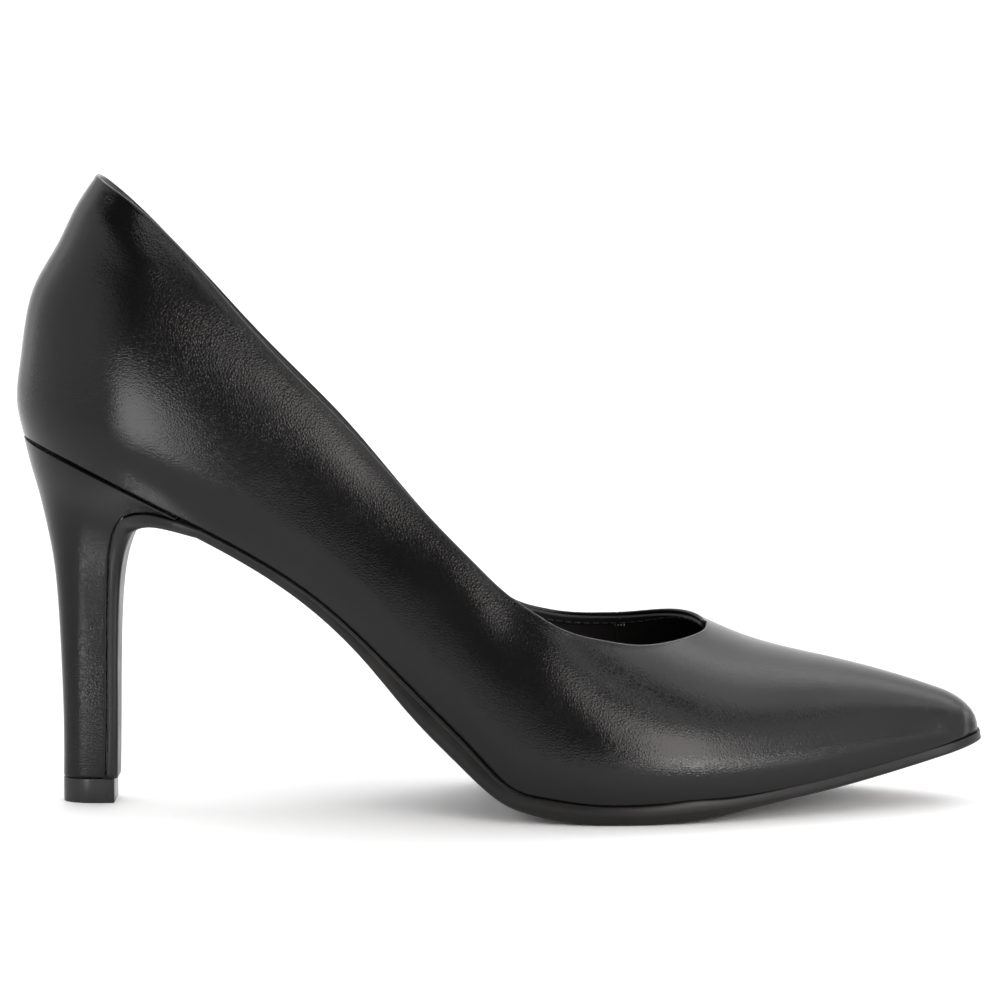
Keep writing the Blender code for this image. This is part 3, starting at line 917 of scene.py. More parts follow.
@dataclass
class Upper:
    """Vamp and quarters in one, with lining, facing and stitches."""

    last: Last
    leather: float = 0.0009  # thickness
    wall: float = 0.0016  # leather and lining
    lining_drop: float = 0.0003  # lining's edge behind the leather's
    lining_gap: float = 0.00004
    feather_roll: float = 0.00035  # radius of the turn towards the sole
    feather_flush: Span = (0.108, 0.124)  # where the seam of the sole closes up
    lip_rise: float = 0.00012  # turned edge along the opening
    lip_width: float = 0.0007
    skive: float = 0.0005  # how much thinner the leather is at its edge
    skive_width: float = 0.0032
    skived: tuple[float, float, float, float] = (0.026, 0.044, 0.104, 0.128)  # where it starts and ends
    mouth_bend: float = 0.55  # share of the throat's round from which ribs fan out
    mouth_lead: float = 0.010  # how far the throat's rib stands ahead of it
    facing_width: float = 0.0023
    facing_thick: float = 0.0003
    facing_set: float = 0.0001  # facing's edge behind the leather's
    facing_powers: Span = (0.45, 0.8)  # of its section's round, across and through
    facing_narrows: Span = (0.150, 0.166)  # towards the throat
    facing_narrowing: float = 0.75
    stitch_inset: float = 0.0006  # from the facing's lower edge
    stitch: float = 0.0016
    stitch_gap: float = 0.0007
    stitch_radius: float = 0.00017
    joint: float = 0.1470  # seam on the inner side, along the foot
    joint_half: float = 0.00045
    joint_depth: float = 0.00014
    joint_reach: float = 3.0  # in half widths, as far as its own ribs run
    joint_clear: float = 3.2  # and as far as others keep off
    joint_ribs: int = 19
    joint_thread: float = 0.00022
    tacks: int = 4
    tack_step: float = 0.0008
    quarter_ribs: int = 104
    bend_ribs: int = 26
    mouth_ribs: int = 30
    vamp_ribs: int = 80
    nose_ribs: int = 22
    heel_turns: int = 42
    low_rows: int = 10  # below the belly, crowded at the feather line
    low_crowding: float = 1.8
    high_rows: int = 46  # above it, crowded at the edge
    high_crowding: float = 1.45
    edge_rows: int = 8

    def mouth(self, drop: float) -> tuple[float, float, Array]:
        """Where the round of the throat starts, where ribs fan out, and their places from there on.

        Args:
            drop: how far the edge is set back.

        Returns:
            The two places, and the ribs' places, short of the throat.
        """
        last, throat = self.last, self.last.throat + drop
        start = throat - last.throat_round
        ribs = rounded(start, throat, last.throat_squareness, self.mouth_bend, self.mouth_ribs)
        return start, start + self.mouth_bend * last.throat_round, ribs

    def side_places(self, drop: float, side: Side) -> tuple[Array, int]:
        """Stations of the side ribs, from the heel forward, closer at the joint and the throat.

        Args:
            drop: how far the edge is set back.
            side: which side.

        Returns:
            Places, and how many lie from the throat forward.
        """
        last, tip = self.last, self.last.length - self.last.sole_lip
        start, bend, mouth = self.mouth(drop)
        quarter = evenly(last.heel_centre, start, self.quarter_ribs)
        behind = np.concatenate([quarter, evenly(start, bend, self.bend_ribs), mouth])
        if side is Side.INNER:
            near = self.joint_half * np.linspace(-self.joint_reach, self.joint_reach, self.joint_ribs)
            behind = behind[np.abs(behind - self.joint) > self.joint_clear * self.joint_half]
            behind = np.sort(np.concatenate([behind, self.joint + near]))
        front = np.concatenate([
            evenly(last.throat + drop, tip - last.nose, self.vamp_ribs),
            crowded(tip - last.nose, tip, self.nose_ribs), [tip],
        ])
        return np.concatenate([behind, front]), len(front)

    def feet(self, places: Array, drop: float) -> Array:
        """Where ribs stand on the side: under their upper ends, but ahead of them beside the throat.

        Args:
            places: stations of the upper ends.
            drop: how far the edge is set back.

        Returns:
            Stations of the feet.
        """
        throat, (_, bend, mouth) = self.last.throat + drop, self.mouth(drop)
        front = self.last.length - self.last.sole_lip - self.last.nose
        ends = np.concatenate([mouth, [throat, front]])
        fan = np.linspace(bend, throat + self.mouth_lead, self.mouth_ribs + 1)
        moved = np.interp(places, ends, np.append(fan, front))
        return np.where((places > bend) & (places < front), moved, places)

    def side_ribs(self, places: Array, side: Side, drop: float) -> Array:
        """Points up one side: rows below the belly, then rows round the ellipse to the edge or ridge.

        Args:
            places: stations of the ribs' upper ends.
            side: which side.
            drop: how far the edge is set back.

        Returns:
            Ribs by rows by 3.
        """
        end, foot = places[:, None], self.feet(places, drop)[:, None]
        shares = (np.arange(self.low_rows) / self.low_rows)[None, :] ** self.low_crowding
        turns = 1 - (1 - np.linspace(0, 1, self.high_rows + 1)[None, :]) ** self.high_crowding
        low = self.last.section(foot, side)
        low_y, low_z = low.below(shares)
        x = foot + (end - foot) * turns**2
        high = self.last.section(x, side)
        top = self.last.topline_turn(self.last.section(end, side), end, side, drop)
        high_y, high_z = high.above(top * turns)
        y = np.concatenate([low_y, high_y], 1)
        z = np.concatenate([low.base + low_z, high.base + high_z], 1)
        return np.stack([np.concatenate([np.broadcast_to(foot, low_y.shape), x], 1), y, z], axis=-1)

    def heel_points(self, angle: Array, side: Side, height: Array) -> Array:
        """Points on the round of the heel: a superellipse in plan between the back and the side wall.

        Args:
            angle: 0 at the middle of the back, a right angle at the heel's side.
            side: which side.
            height: over the feather line.

        Returns:
            Points, with 3 as the last axis.
        """
        last, power = self.last, 2 / self.last.heel_squareness
        reach = last.heel_centre - last.curves["back"](height)
        x = last.heel_centre - reach * np.cos(angle) ** power
        y = last.section(x, side).across(height) * np.sin(angle) ** power
        return np.stack([x, y, last.seat(x) + height], axis=-1)

    def heel_ribs(self, angles: Array, side: Side, drop: float) -> Array:
        """Points up the round of the heel, spaced as those of the side rib that it meets.

        Args:
            angles: from the middle of the back.
            side: which side.
            drop: how far the edge is set back.

        Returns:
            Ribs by rows by 3.
        """
        last = self.last
        meeting = self.side_ribs(np.array([last.heel_centre]), side, drop)[0, :, 2]
        heights = meeting - meeting[0]
        angle, top = angles[:, None], np.full((len(angles), 1), heights[-1])
        for _ in range(12):  # the edge's height depends on the place that it gives
            top = last.topline(self.heel_points(angle, side, top)[..., 0], side) - drop
        return self.heel_points(angle, side, top * (heights / heights[-1])[None, :])

    def skin(self, drop: float) -> tuple[Array, slice]:
        """The upper's outer surface: ribs from the toe along the outer side, round the heel and back.

        Args:
            drop: how far the edge of the opening is set back.

        Returns:
            Ribs by rows by 3, in the frame, and the ribs that end in the edge of the opening.
        """
        outer, front = self.side_places(drop, Side.OUTER)
        inner, _ = self.side_places(drop, Side.INNER)
        angles = np.linspace(0, RIGHT_ANGLE, self.heel_turns)
        ribs = np.concatenate([
            self.side_ribs(outer[::-1], Side.OUTER, drop),
            self.heel_ribs(angles[-2::-1], Side.OUTER, drop),
            self.heel_ribs(angles[1:-1], Side.INNER, drop),
            self.side_ribs(inner[:-1], Side.INNER, drop),
        ])
        return ribs + self.last.shift, slice(front - 1, len(ribs) - front + 2)

    def relief(self, points: Array) -> Array:
        """Height of creases and joint over the smooth form.

        A crease is a bell curve of the distance from its line, fading past its ends. The joint is
        a narrow trough between two lips, a third as high as it is deep, on the inner side.

        Args:
            points: points of the surface, in the frame.

        Returns:
            Heights along the normal.
        """
        x, y, z = (points - self.last.shift).T
        total = np.zeros(len(points))
        for crease in CREASES:
            start, end = np.array(crease.start), np.array(crease.end)
            line = end - start
            offset = np.stack([x, z], 1) - start
            share = np.clip(offset @ line / (line @ line), 0.0, 1.0)
            distance = np.linalg.norm(offset - share[:, None] * line, axis=1)
            on_side = 1 / (1 + np.exp(-crease.side.value * y / SIDE_BLEND))
            total += crease.rise * on_side * np.exp(-((distance / crease.width) ** 2))
        place = (x - self.joint) / self.joint_half
        seam = 0.35 * np.exp(-((np.abs(place) - 1.6) ** 2) * 2) - np.exp(-(place**2) * 2.5)
        return total + self.joint_depth * seam * (y > 0.004) * (x < self.last.throat)

    def turned_edge(self, points: Array, edge: Array) -> Array:
        """Form of the turned edge: thinned along the quarters as a flat ellipse, with a low lip on it.

        The lip is a bell curve of the distance from the opening's edge.

        Args:
            points: points of the surface, in the frame.
            edge: points along the edge.

        Returns:
            Heights along the normal.
        """
        apart = (points**2).sum(1)[:, None] + (edge**2).sum(1)[None, :] - 2 * points @ edge.T
        near = np.sqrt(np.maximum(apart.min(axis=1), 0.0))
        x = points[:, 0] - self.last.shift[0]
        share = faded(x, *self.skived[:2]) * (1 - faded(x, *self.skived[2:]))
        left = np.clip(1 - near / self.skive_width, 0.0, 1.0)
        skive = self.skive * share * (1 - np.sqrt(1 - left**2))
        return self.lip_rise * np.exp(-((near / self.lip_width) ** 2)) - skive

    def roll(self, points: Array) -> Array:
        """How far the leather has turned in near the feather line, as a quarter circle does.

        Args:
            points: points of the surface, in the frame.

        Returns:
            Distances inwards.
        """
        x, y, z = (points - self.last.shift).T
        lift = np.where(y > 0, self.last.arch(x), 0.0)
        radius = self.feather_roll * (1 - 0.9 * faded(x, *self.feather_flush))
        short = np.clip(radius - (z - self.last.seat(x) - lift), 0.0, radius)
        return radius - np.sqrt(radius**2 - short**2)

    def shell(self, drop: float, outside: float, inside: float) -> tuple[Surface, "EdgeLine"]:
        """A closed wall between two depths under the skin, with a round edge along the opening.

        The two faces are the skin moved along its normals. The edge is half a circle across the
        wall, carried along the opening.

        Args:
            drop: how far the edge is set back.
            outside: depth of the outer face.
            inside: depth of the inner face.

        Returns:
            The wall, and the line of its edge.
        """
        ribs, mouth = self.skin(drop)
        skin, index = Surface.of_grid(ribs, wrap_rows=True).welded()
        index = index.reshape(ribs.shape[:2])
        normals = skin.normals()
        outward = np.sign(np.mean(normals[index[:, self.low_rows], 1] * ribs[:, self.low_rows, 1]))
        normals = normals * outward
        loop = index[mouth, -1][:-1]
        relief = self.relief(skin.points) - self.roll(skin.points)
        turned = self.turned_edge(skin.points, skin.points[loop]) if outside == 0.0 else 0.0
        outer = skin.points + normals * (relief + turned - outside)[:, None]
        inner = skin.points + normals * (relief - inside)[:, None]
        edge = EdgeLine.along(skin.points[loop], normals[loop], skin.points[index[mouth, -3][:-1]])
        radius = np.linalg.norm(outer[loop] - inner[loop], axis=1)[:, None] / 2
        turns = np.linspace(RIGHT_ANGLE, -RIGHT_ANGLE, self.edge_rows + 1)
        centre = (outer[loop] + inner[loop]) / 2
        sine, cosine = np.sin(turns)[:, None, None], np.cos(turns)[:, None, None]
        arc = centre[None] + radius * (sine * edge.normal[None] + cosine * edge.into[None])
        arc[0], arc[-1] = outer[loop], inner[loop]
        foot = index[:, 0]
        under = np.stack([outer[foot], inner[foot]])
        parts = [
            Surface(outer, skin.faces),
            Surface(inner, skin.faces[:, ::-1]),
            Surface.of_grid(arc, wrap_length=True),
            Surface.of_grid(under, wrap_length=True),
        ]
        return Surface.joined(parts), edge

    def build(self) -> None:
        """Makes leather, lining, facing and stitches."""
        leather, edge = self.shell(0.0, 0.0, self.leather)
        add_piece("upper_leather", leather, UPPER_LEATHER.material(), "upper")
        lining, _ = self.shell(self.lining_drop, self.leather + self.lining_gap, self.wall)
        add_piece("upper_lining", lining, LINING.material())
        x = edge.points[:, 0] - self.last.shift[0]
        narrowing = 1 - self.facing_narrowing * faded(x, *self.facing_narrows)
        facing = edge.swept(self.facing_profile(), narrowing)
        add_piece("topline_facing", facing, FACING.material())
        into = narrowing[:, None] * (self.stitch_inset - self.facing_width)
        stitches = edge.stitched(into, -self.wall - self.facing_thick, self)
        add_piece("topline_stitches", stitches, BLACK_THREAD.material())
        self.build_joint(edge)

    def facing_profile(self) -> Array:
        """The facing's section, a flat band with round edges: into the opening, along the normal."""
        turns = np.linspace(0, 2 * math.pi, 25)[:-1]
        half, (wide, deep) = self.facing_width / 2, self.facing_powers
        across = half * np.sign(np.cos(turns)) * np.abs(np.cos(turns)) ** wide
        rise = self.facing_thick * np.sign(np.sin(turns)) * np.abs(np.sin(turns)) ** deep
        return np.stack([across - half - self.facing_set, rise - self.wall], axis=-1)

    def build_joint(self, edge: "EdgeLine") -> None:
        """Sews the joint's end inside: a slanting ridge on the facing, and pale stitches under it.

        Args:
            edge: the edge of the opening.
        """
        x = edge.points[:, 0] - self.last.shift[0]
        near = np.argmin(np.abs(x - self.joint) + (edge.points[:, 1] < 0))
        origin, normal = edge.points[near], edge.normal[near]
        axes = np.stack([edge.along_line[near], edge.into[near], normal])

        def thread(start: Span, end: Span, deep: float) -> Surface:
            """A capsule from start to end, given along the edge and into the opening.

            Args:
                start: one end.
                end: the other.
                deep: how deep its middle lies under the skin.

            Returns:
                The capsule.
            """
            a, b = np.array([*start, -deep]) @ axes, np.array([*end, -deep]) @ axes
            return capsule(origin + a, origin + b, normal, self.joint_thread)

        ridge = thread((-0.0006, -self.facing_width), (0.0011, -0.0002), self.wall + self.facing_thick)
        add_piece("joint_ridge", ridge, FACING.material())
        steps = self.tack_step * np.arange(self.tacks)
        tack = [thread((step - 0.0010, -0.0031), (step - 0.0008, -0.0022), self.wall) for step in steps]
        add_piece("joint_stitches", Surface.joined(tack), PALE_THREAD.material())


def capsule(start: Array, end: Array, up: Array, radius: float) -> Surface:
    """Threads between points: circles along a line, shrinking at its ends as a ball does.

    Args:
        start: ends, one or many, with 3 as the last axis.
        end: the other ends.
        up: a direction across the thread.
        radius: of the thread.

    Returns:
        All the threads as one surface.
    """
    start, end, up = (np.atleast_2d(value) for value in (start, end, up))
    line = unit(end - start)
    side = unit(np.cross(line, up))
    top = np.cross(side, line)
    length = np.linalg.norm(end - start, axis=1)[:, None]
    ball = np.linspace(0, RIGHT_ANGLE, 4)
    ends = np.concatenate([radius * (1 - np.cos(ball)), -radius * (1 - np.cos(ball))[::-1]])
    at = np.where(np.arange(8) < 4, ends, length + ends)
    wide = radius * np.concatenate([np.sin(ball), np.sin(ball)[::-1]])
    turns = np.arange(8) / 8 * 2 * math.pi
    ring = (
        side[:, None, None] * np.cos(turns)[None, None, :, None]
        + top[:, None, None] * np.sin(turns)[None, None, :, None]
    )
    points = start[:, None, None] + line[:, None, None] * at[:, :, None, None]
    points = points + wide[None, :, None, None] * ring
    return Surface.joined([Surface.of_grid(one, wrap_length=True) for one in points])


@dataclass
class EdgeLine:
    """Closed line with directions at each point: out of the surface, into the opening and along."""

    points: Array
    normal: Array
    into: Array
    along_line: Array

    @classmethod
    def along(cls, points: Array, normals: Array, behind: Array) -> "EdgeLine":
        """Finds the directions: along by differences, into the opening across that and the normal.

        Args:
            points: the line.
            normals: of the surface that it bounds.
            behind: points of the surface just inside the line.

        Returns:
            The line.
        """
        along = unit(np.roll(points, -1, axis=0) - np.roll(points, 1, axis=0))
        normal = unit(normals - np.sum(normals * along, axis=1, keepdims=True) * along)
        into = np.cross(normal, along)
        sign = np.sign(np.median(np.sum(into * (points - behind), axis=1)))
        return cls(points, normal, into * sign, along)

    def swept(self, profile: Array, narrowing: Array) -> Surface:
        """A profile carried along the line.

        Args:
            profile: points into the opening and along the normal.
            narrowing: share of the profile's width, at each point of the line.

        Returns:
            The band.
        """
        grid = (
            self.points[:, None]
            + narrowing[:, None, None] * profile[None, :, :1] * self.into[:, None]
            + profile[None, :, 1:] * self.normal[:, None]
        )
        return Surface.of_grid(grid, wrap_rows=True, wrap_length=True)

    def stitched(self, into: Array, out: float, upper: "Upper") -> Surface:
        """Stitches at even steps of length along the line.

        Args:
            into: how far into the opening, at each point of the line.
            out: how far along the normal.
            upper: sizes of the stitches.

        Returns:
            All the stitches.
        """
        line = self.points + into * self.into + out * self.normal
        closed = np.concatenate([line, line[:1]])
        length = np.concatenate([[0.0], np.cumsum(np.linalg.norm(np.diff(closed, axis=0), axis=1))])
        count = int(length[-1] / (upper.stitch + upper.stitch_gap))
        starts = np.arange(count) * length[-1] / count
        ends = np.minimum(starts + upper.stitch, length[-1])

        def at(places: Array, values: Array) -> Array:
            """Values of the line read at lengths along it."""
            return np.stack([np.interp(places, length, values[:, k]) for k in range(3)], axis=1)

        up = at(starts, np.concatenate([self.normal, self.normal[:1]]))
        return capsule(at(starts, closed), at(ends, closed), up, upper.stitch_radius)


@dataclass
class HeelBlock:
    """Leather-covered heel: slanted sections from the tip up to the seat."""

    last: Last
    gap: float = 0.0003
    flap: float = 0.0019
    bow: float = 0.55  # level from which sections bow as the seat does
    corner: float = 0.00045
    rim: float = 0.00040
    low_rim: float = 0.0002  # eased edge over the tip: its height, and the width left
    low_share: float = 0.965
    levels: int = 150
    round_points: int = 34

    def __post_init__(self) -> None:
        """Turns the table into curves of the level, 0 on the tip and 1 under the seat."""
        levels = np.linspace(0, 1, len(HEEL_TABLE.rows))
        lengths = ("back", "back_up", "front", "front_up", "half")
        sizes = dict.fromkeys(lengths, self.last.heel_height) | {"straight": 1.0, "flap": self.flap}
        self.curves = {
            name: Curve.through(levels, HEEL_TABLE.column(name) * size) for name, size in sizes.items()
        }

    def size(self, name: str, level: Array) -> Array:
        """One size of the sections at levels."""
        return self.curves[name](level)

    def outline(self, level: Array, length: Array, half: Array) -> tuple[Array, Array]:
        """One side of sections in plan: a superellipse round the back, a straight side, a round corner.

        Args:
            level: levels, as a column.
            length: of the sections, back to breast, as a column.
            half: half widths, as a column.

        Returns:
            Distances from the back, and half widths there.
        """
        power, straight = 2 / self.last.heel_squareness, self.size("straight", level)
        turns = np.linspace(0, RIGHT_ANGLE, self.round_points)[None, :]
        back = (1 - straight) * length * (1 - np.cos(turns) ** power)
        wide = half * np.sin(turns) ** power
        start, end = (1 - straight) * length, length - self.corner
        run = start + (end - start) * np.linspace(0, 1, 9)[None, 1:-1]
        arc = np.linspace(0, RIGHT_ANGLE, 7)[None, :]
        corner = end + self.corner * np.sin(arc)
        corner_half = half - self.corner * (1 - np.cos(arc))
        places = np.concatenate([back, run, corner], axis=1)
        halves = np.concatenate([wide, np.broadcast_to(half, run.shape), corner_half], axis=1)
        return places, halves

    def rings(self, level: Array) -> Array:
        """Points round sections, from the outer end of the breast by the back to its inner end.

        A section slants from its back height to its breast height, and near the seat it bows as
        the seat does.

        Args:
            level: levels.

        Returns:
            Levels by points by 3, in the solids' own places.
        """
        last, column = self.last, level[:, None]
        back, front = self.size("back", column), self.size("front", column)
        places, halves = self.outline(column, front - back, self.size("half", column))
        share = places / (front - back)
        x = back + places
        chord = last.seat(back) + share * (last.seat(front) - last.seat(back))
        z = self.size("back_up", column) * (1 - share) + self.size("front_up", column) * share
        bow = np.clip((column - self.bow) / (1 - self.bow), 0, 1) ** 2
        z = z + bow * (last.seat(x) - chord)
        return self.mirrored(x, halves, z)

    @staticmethod
    def mirrored(x: Array, half: Array, z: Array) -> Array:
        """Both sides of rings from one: the outer side reversed, then the inner one."""
        side = np.stack([x, half, z], axis=-1)
        return np.concatenate([side[:, ::-1] * (1, -1, 1), side[:, 1:]], axis=1)

    def build(self) -> None:
        """Makes the block, with an eased rim under the seat."""
        rings = self.rings(np.linspace(0, 1, self.levels))
        top = rings[-1]
        middle = top.mean(axis=0)
        ease = np.linspace(0, RIGHT_ANGLE, 6)[:, None]
        inset = self.rim * (1 - np.cos(ease))
        reach = np.linalg.norm((top - middle)[:, :2], axis=1)[None, :]
        share = (1 - inset / reach)[..., None]
        rim = middle + (top - middle)[None] * share
        high = self.last.seat(rim[..., 0]) - self.gap
        low = np.minimum(top[None, :, 2], high)
        rim[..., 2] = np.maximum(high - self.rim * (1 - np.sin(ease)), low)
        low_rim = rings[:1].copy()
        low_middle = low_rim.mean(axis=1, keepdims=True)
        low_rim[..., :2] = low_middle[..., :2] + (low_rim - low_middle)[..., :2] * self.low_share
        rings[0, :, 2] += self.low_rim
        block = capped(np.concatenate([low_rim, rings, rim]), self.last.shift)
        add_piece("heel_block", block, HEEL_LEATHER.material(), "heel")


def capped(rings: Array, shift: Array) -> Surface:
    """Rings one over another as a closed surface, each end drawn to its middle.

    Args:
        rings: rings by points by 3.
        shift: from the solids' own places to the frame.

    Returns:
        The surface.
    """
    first = np.broadcast_to(rings[0].mean(axis=0), rings[:1].shape)
    final = np.broadcast_to(rings[-1].mean(axis=0), rings[:1].shape)
    return Surface.of_grid(np.concatenate([first, rings, final]) + shift, wrap_length=True)


@dataclass
class TopPiece:
    """Hard tip under heel and flap."""

    heel: HeelBlock
    height: float = 0.0060
    ease: float = 0.0003
    top_ease: float = 0.00018

    def build(self) -> None:
        """Makes the tip: the heel's lowest section lengthened over the flap, eased at both edges."""
        heel, level = self.heel, np.zeros((1, 1))
        back = heel.size("back", level)
        length = heel.size("front", level) + heel.gap + heel.flap - back
        half = heel.size("half", level)
        arc = np.linspace(0, RIGHT_ANGLE, 6)
        heights = np.concatenate([
            self.ease * (1 - np.cos(arc)), self.height - self.top_ease * (1 - np.sin(arc))
        ])
        insets = np.concatenate([
            self.ease * (1 - np.sin(arc)), self.top_ease * (1 - np.cos(arc))
        ])
        places, halves = heel.outline(level, length, half)
        centre = length / 2
        inset = insets[:, None]
        x = back + centre + (places - centre) * (1 - inset / centre)
        wide = halves * (1 - inset / half)
        rings = heel.mirrored(x, wide, np.broadcast_to(heights[:, None], x.shape))
        tip = capped(rings, heel.last.shift)
        add_piece("top_piece_tip", tip, TIP_FINISH.material(), "top_piece")


@dataclass
class Outsole:
    """Moulded sole: under the foot from toe to shank, then down the breast of the heel as a flap."""

    last: Last
    heel: HeelBlock
    shank_end: float = 0.046
    tip_half: float = 0.0006
    least_tread: float = 0.45
    gap: float = 0.0003
    swelling: float = 0.00055  # where the rim stands up against the upper, by the ball
    swelling_at: float = 0.1640
    swelling_half: float = 0.0060
    swelling_share: float = 0.45  # of the thickness, over which it dies out
    rim_lift: Span = (0.00010, 0.00034)  # over the seam, at the shank and by the ball
    rim_share: float = 0.30  # of the thickness, over which the lift dies out
    layers_from: Span = (0.116, 0.132)  # where the edge goes over into layers
    layers_to: Span = (0.168, 0.192)  # where it is plain again, and flush with the upper
    flush_lip: float = 0.0001
    flush_lift: float = 0.00060
    tip_lip: Span = (0.220, 0.232)  # where the lip comes back, round the tip
    edge_from: float = 0.995  # share of the half width that counts as the edge

    def build(self) -> None:
        """Makes the sole as rings along its profile.

        The profile runs along the seat and turns down the breast. A ring goes across the top, down
        one side by the rim, the hollow and the lower layer, across the tread and up the other side.
        """
        last, heel = self.last, self.heel
        nose = last.length - last.nose * (1 - np.sin(np.linspace(RIGHT_ANGLE, 0, 18)))
        places = np.concatenate([nose, np.linspace(last.length - last.nose, self.shank_end, 190)[1:]])
        levels = np.linspace(1, 0, 90)
        line = np.concatenate([
            np.stack([places, last.seat(places)], 1),
            np.stack([heel.size("front", levels), heel.size("front_up", levels)], 1),
        ])
        flush = faded(places, *self.layers_to)
        inside = flush * (1 - faded(places, *self.tip_lip))
        lip = last.sole_lip + (self.flush_lip - last.sole_lip) * inside
        half = (last.half(places) + lip) * last.nose_closing(places, last.length)

        def and_flap(under: Array, flap: Array | float = 0.0) -> Array:
            """Values under the foot, then values down the flap, as a column."""
            return np.concatenate([under, np.broadcast_to(flap, levels.shape)])[:, None]

        half = and_flap(np.maximum(half, self.tip_half), heel.size("half", levels))
        centre, lift = and_flap(last.middle(places)), and_flap(last.arch(places))
        thick = and_flap(last.curves["sole"](places), heel.size("flap", levels))
        along = np.gradient(line, axis=0)
        away = unit(np.stack([-along[:, 1], along[:, 0]], 1))
        layered, flush = and_flap(faded(places, *self.layers_from)), and_flap(flush)
        shown = layered * (1 - flush)
        out = SOLE_EDGE_TABLE.column("smooth") * (1 - shown) + SOLE_EDGE_TABLE.column("layered") * shown
        reach = np.maximum(half + out * thick, self.least_tread * half)
        depth = SOLE_EDGE_TABLE.column("down") * thick
        top = half * np.linspace(-1, 1, 13)[None, :]
        tread = reach[:, -1:] * np.linspace(1, -1, 15)[None, 1:-1]
        across = np.concatenate([top, reach[:, 1:], tread, -reach[:, :0:-1]], axis=1)
        down = np.concatenate([
            np.zeros_like(top), depth[:, 1:], np.broadcast_to(thick, tread.shape), depth[:, :0:-1]
        ], axis=1)
        rise = lift * np.clip((across + half) / (2 * half), 0, 1)
        x = line[:, :1] + away[:, :1] * (self.gap + down)
        bell = np.exp(-(((x - self.swelling_at) / self.swelling_half) ** 2))
        rim = np.clip(1 - down / (self.swelling_share * thick), 0, 1)
        low, high = self.rim_lift
        risen = low + (high - low) * layered + (self.flush_lift - high) * flush
        left = np.clip(1 - down / (self.rim_share * thick), 0, 1)
        lift_up = risen * and_flap(np.ones_like(places)) * left
        on_edge = np.abs(across) > self.edge_from * half
        z = line[:, 1:] + away[:, 1:] * (self.gap + down) + rise
        z = z + on_edge * lift_up + (across < 0) * on_edge * self.swelling * bell * rim
        rings = np.stack([x, centre + across, np.maximum(z, 0.0)], axis=-1)
        moulding = capped(rings, last.shift)
        add_piece("outsole_moulding", moulding, SOLE_FINISH.material(), "outsole")


@dataclass
class Insole:
    """Footbed with its sock, along the seat inside the wall."""

    last: Last
    wall: float = 0.0016
    clearance: float = 0.0004
    thick: float = 0.0020
    setback: float = 0.0030
    edge_drop: float = 0.55  # share of the thickness that the top loses at its edge
    edge_power: int = 14

    def build(self) -> None:
        """Makes the footbed: sections with a flat underside and a top that rounds off at its edges."""
        last, inset = self.last, self.wall + self.clearance
        tip = last.length - last.sole_lip - self.setback
        back = float(last.curves["back"](np.array(0.0))) + inset
        heel_turn = np.linspace(0, RIGHT_ANGLE, 30)
        nose_turn = np.linspace(0, RIGHT_ANGLE, 18)[1:]
        x = np.concatenate([
            back + (last.heel_centre - back) * (1 - np.cos(heel_turn)),
            np.linspace(last.heel_centre, tip - last.nose, 150)[1:],
            tip - last.nose + last.nose * np.sin(nose_turn),
        ])[:, None]
        close = last.nose_closing(x, tip) * closing(
            last.heel_centre - x, 0.0, last.heel_centre - back, last.heel_squareness
        )
        half = np.maximum(last.half(x) - inset, 0.0) * close
        share = np.concatenate([np.linspace(-1, 1, 15), np.linspace(1, -1, 31)])[None, :]
        over = np.concatenate([np.zeros(15), np.ones(31)])[None, :]
        rounding = 1 - self.edge_drop * np.abs(share) ** self.edge_power
        y = last.middle(x) * close + share * half
        z = last.seat(x) + last.arch(x) * (share + 1) / 2 + over * self.thick * rounding
        rings = np.stack([np.broadcast_to(x, y.shape), y, z], axis=-1)
        add_piece("insole_sock", capped(rings, last.shift), SOCK.material(), "insole")


@dataclass(frozen=True)
class Softbox:
    """Area light: where it stands, where it points, its sides and how bright it looks."""

    name: str
    place: Point
    target: Point
    width: float
    height: float
    glow: float  # 1 looks as white paper does
    colour: Colour = (1.0, 1.0, 1.0)

    def power(self) -> float:
        """Watts for the glow, at four to the square metre."""
        return 4 * self.width * self.height * self.glow


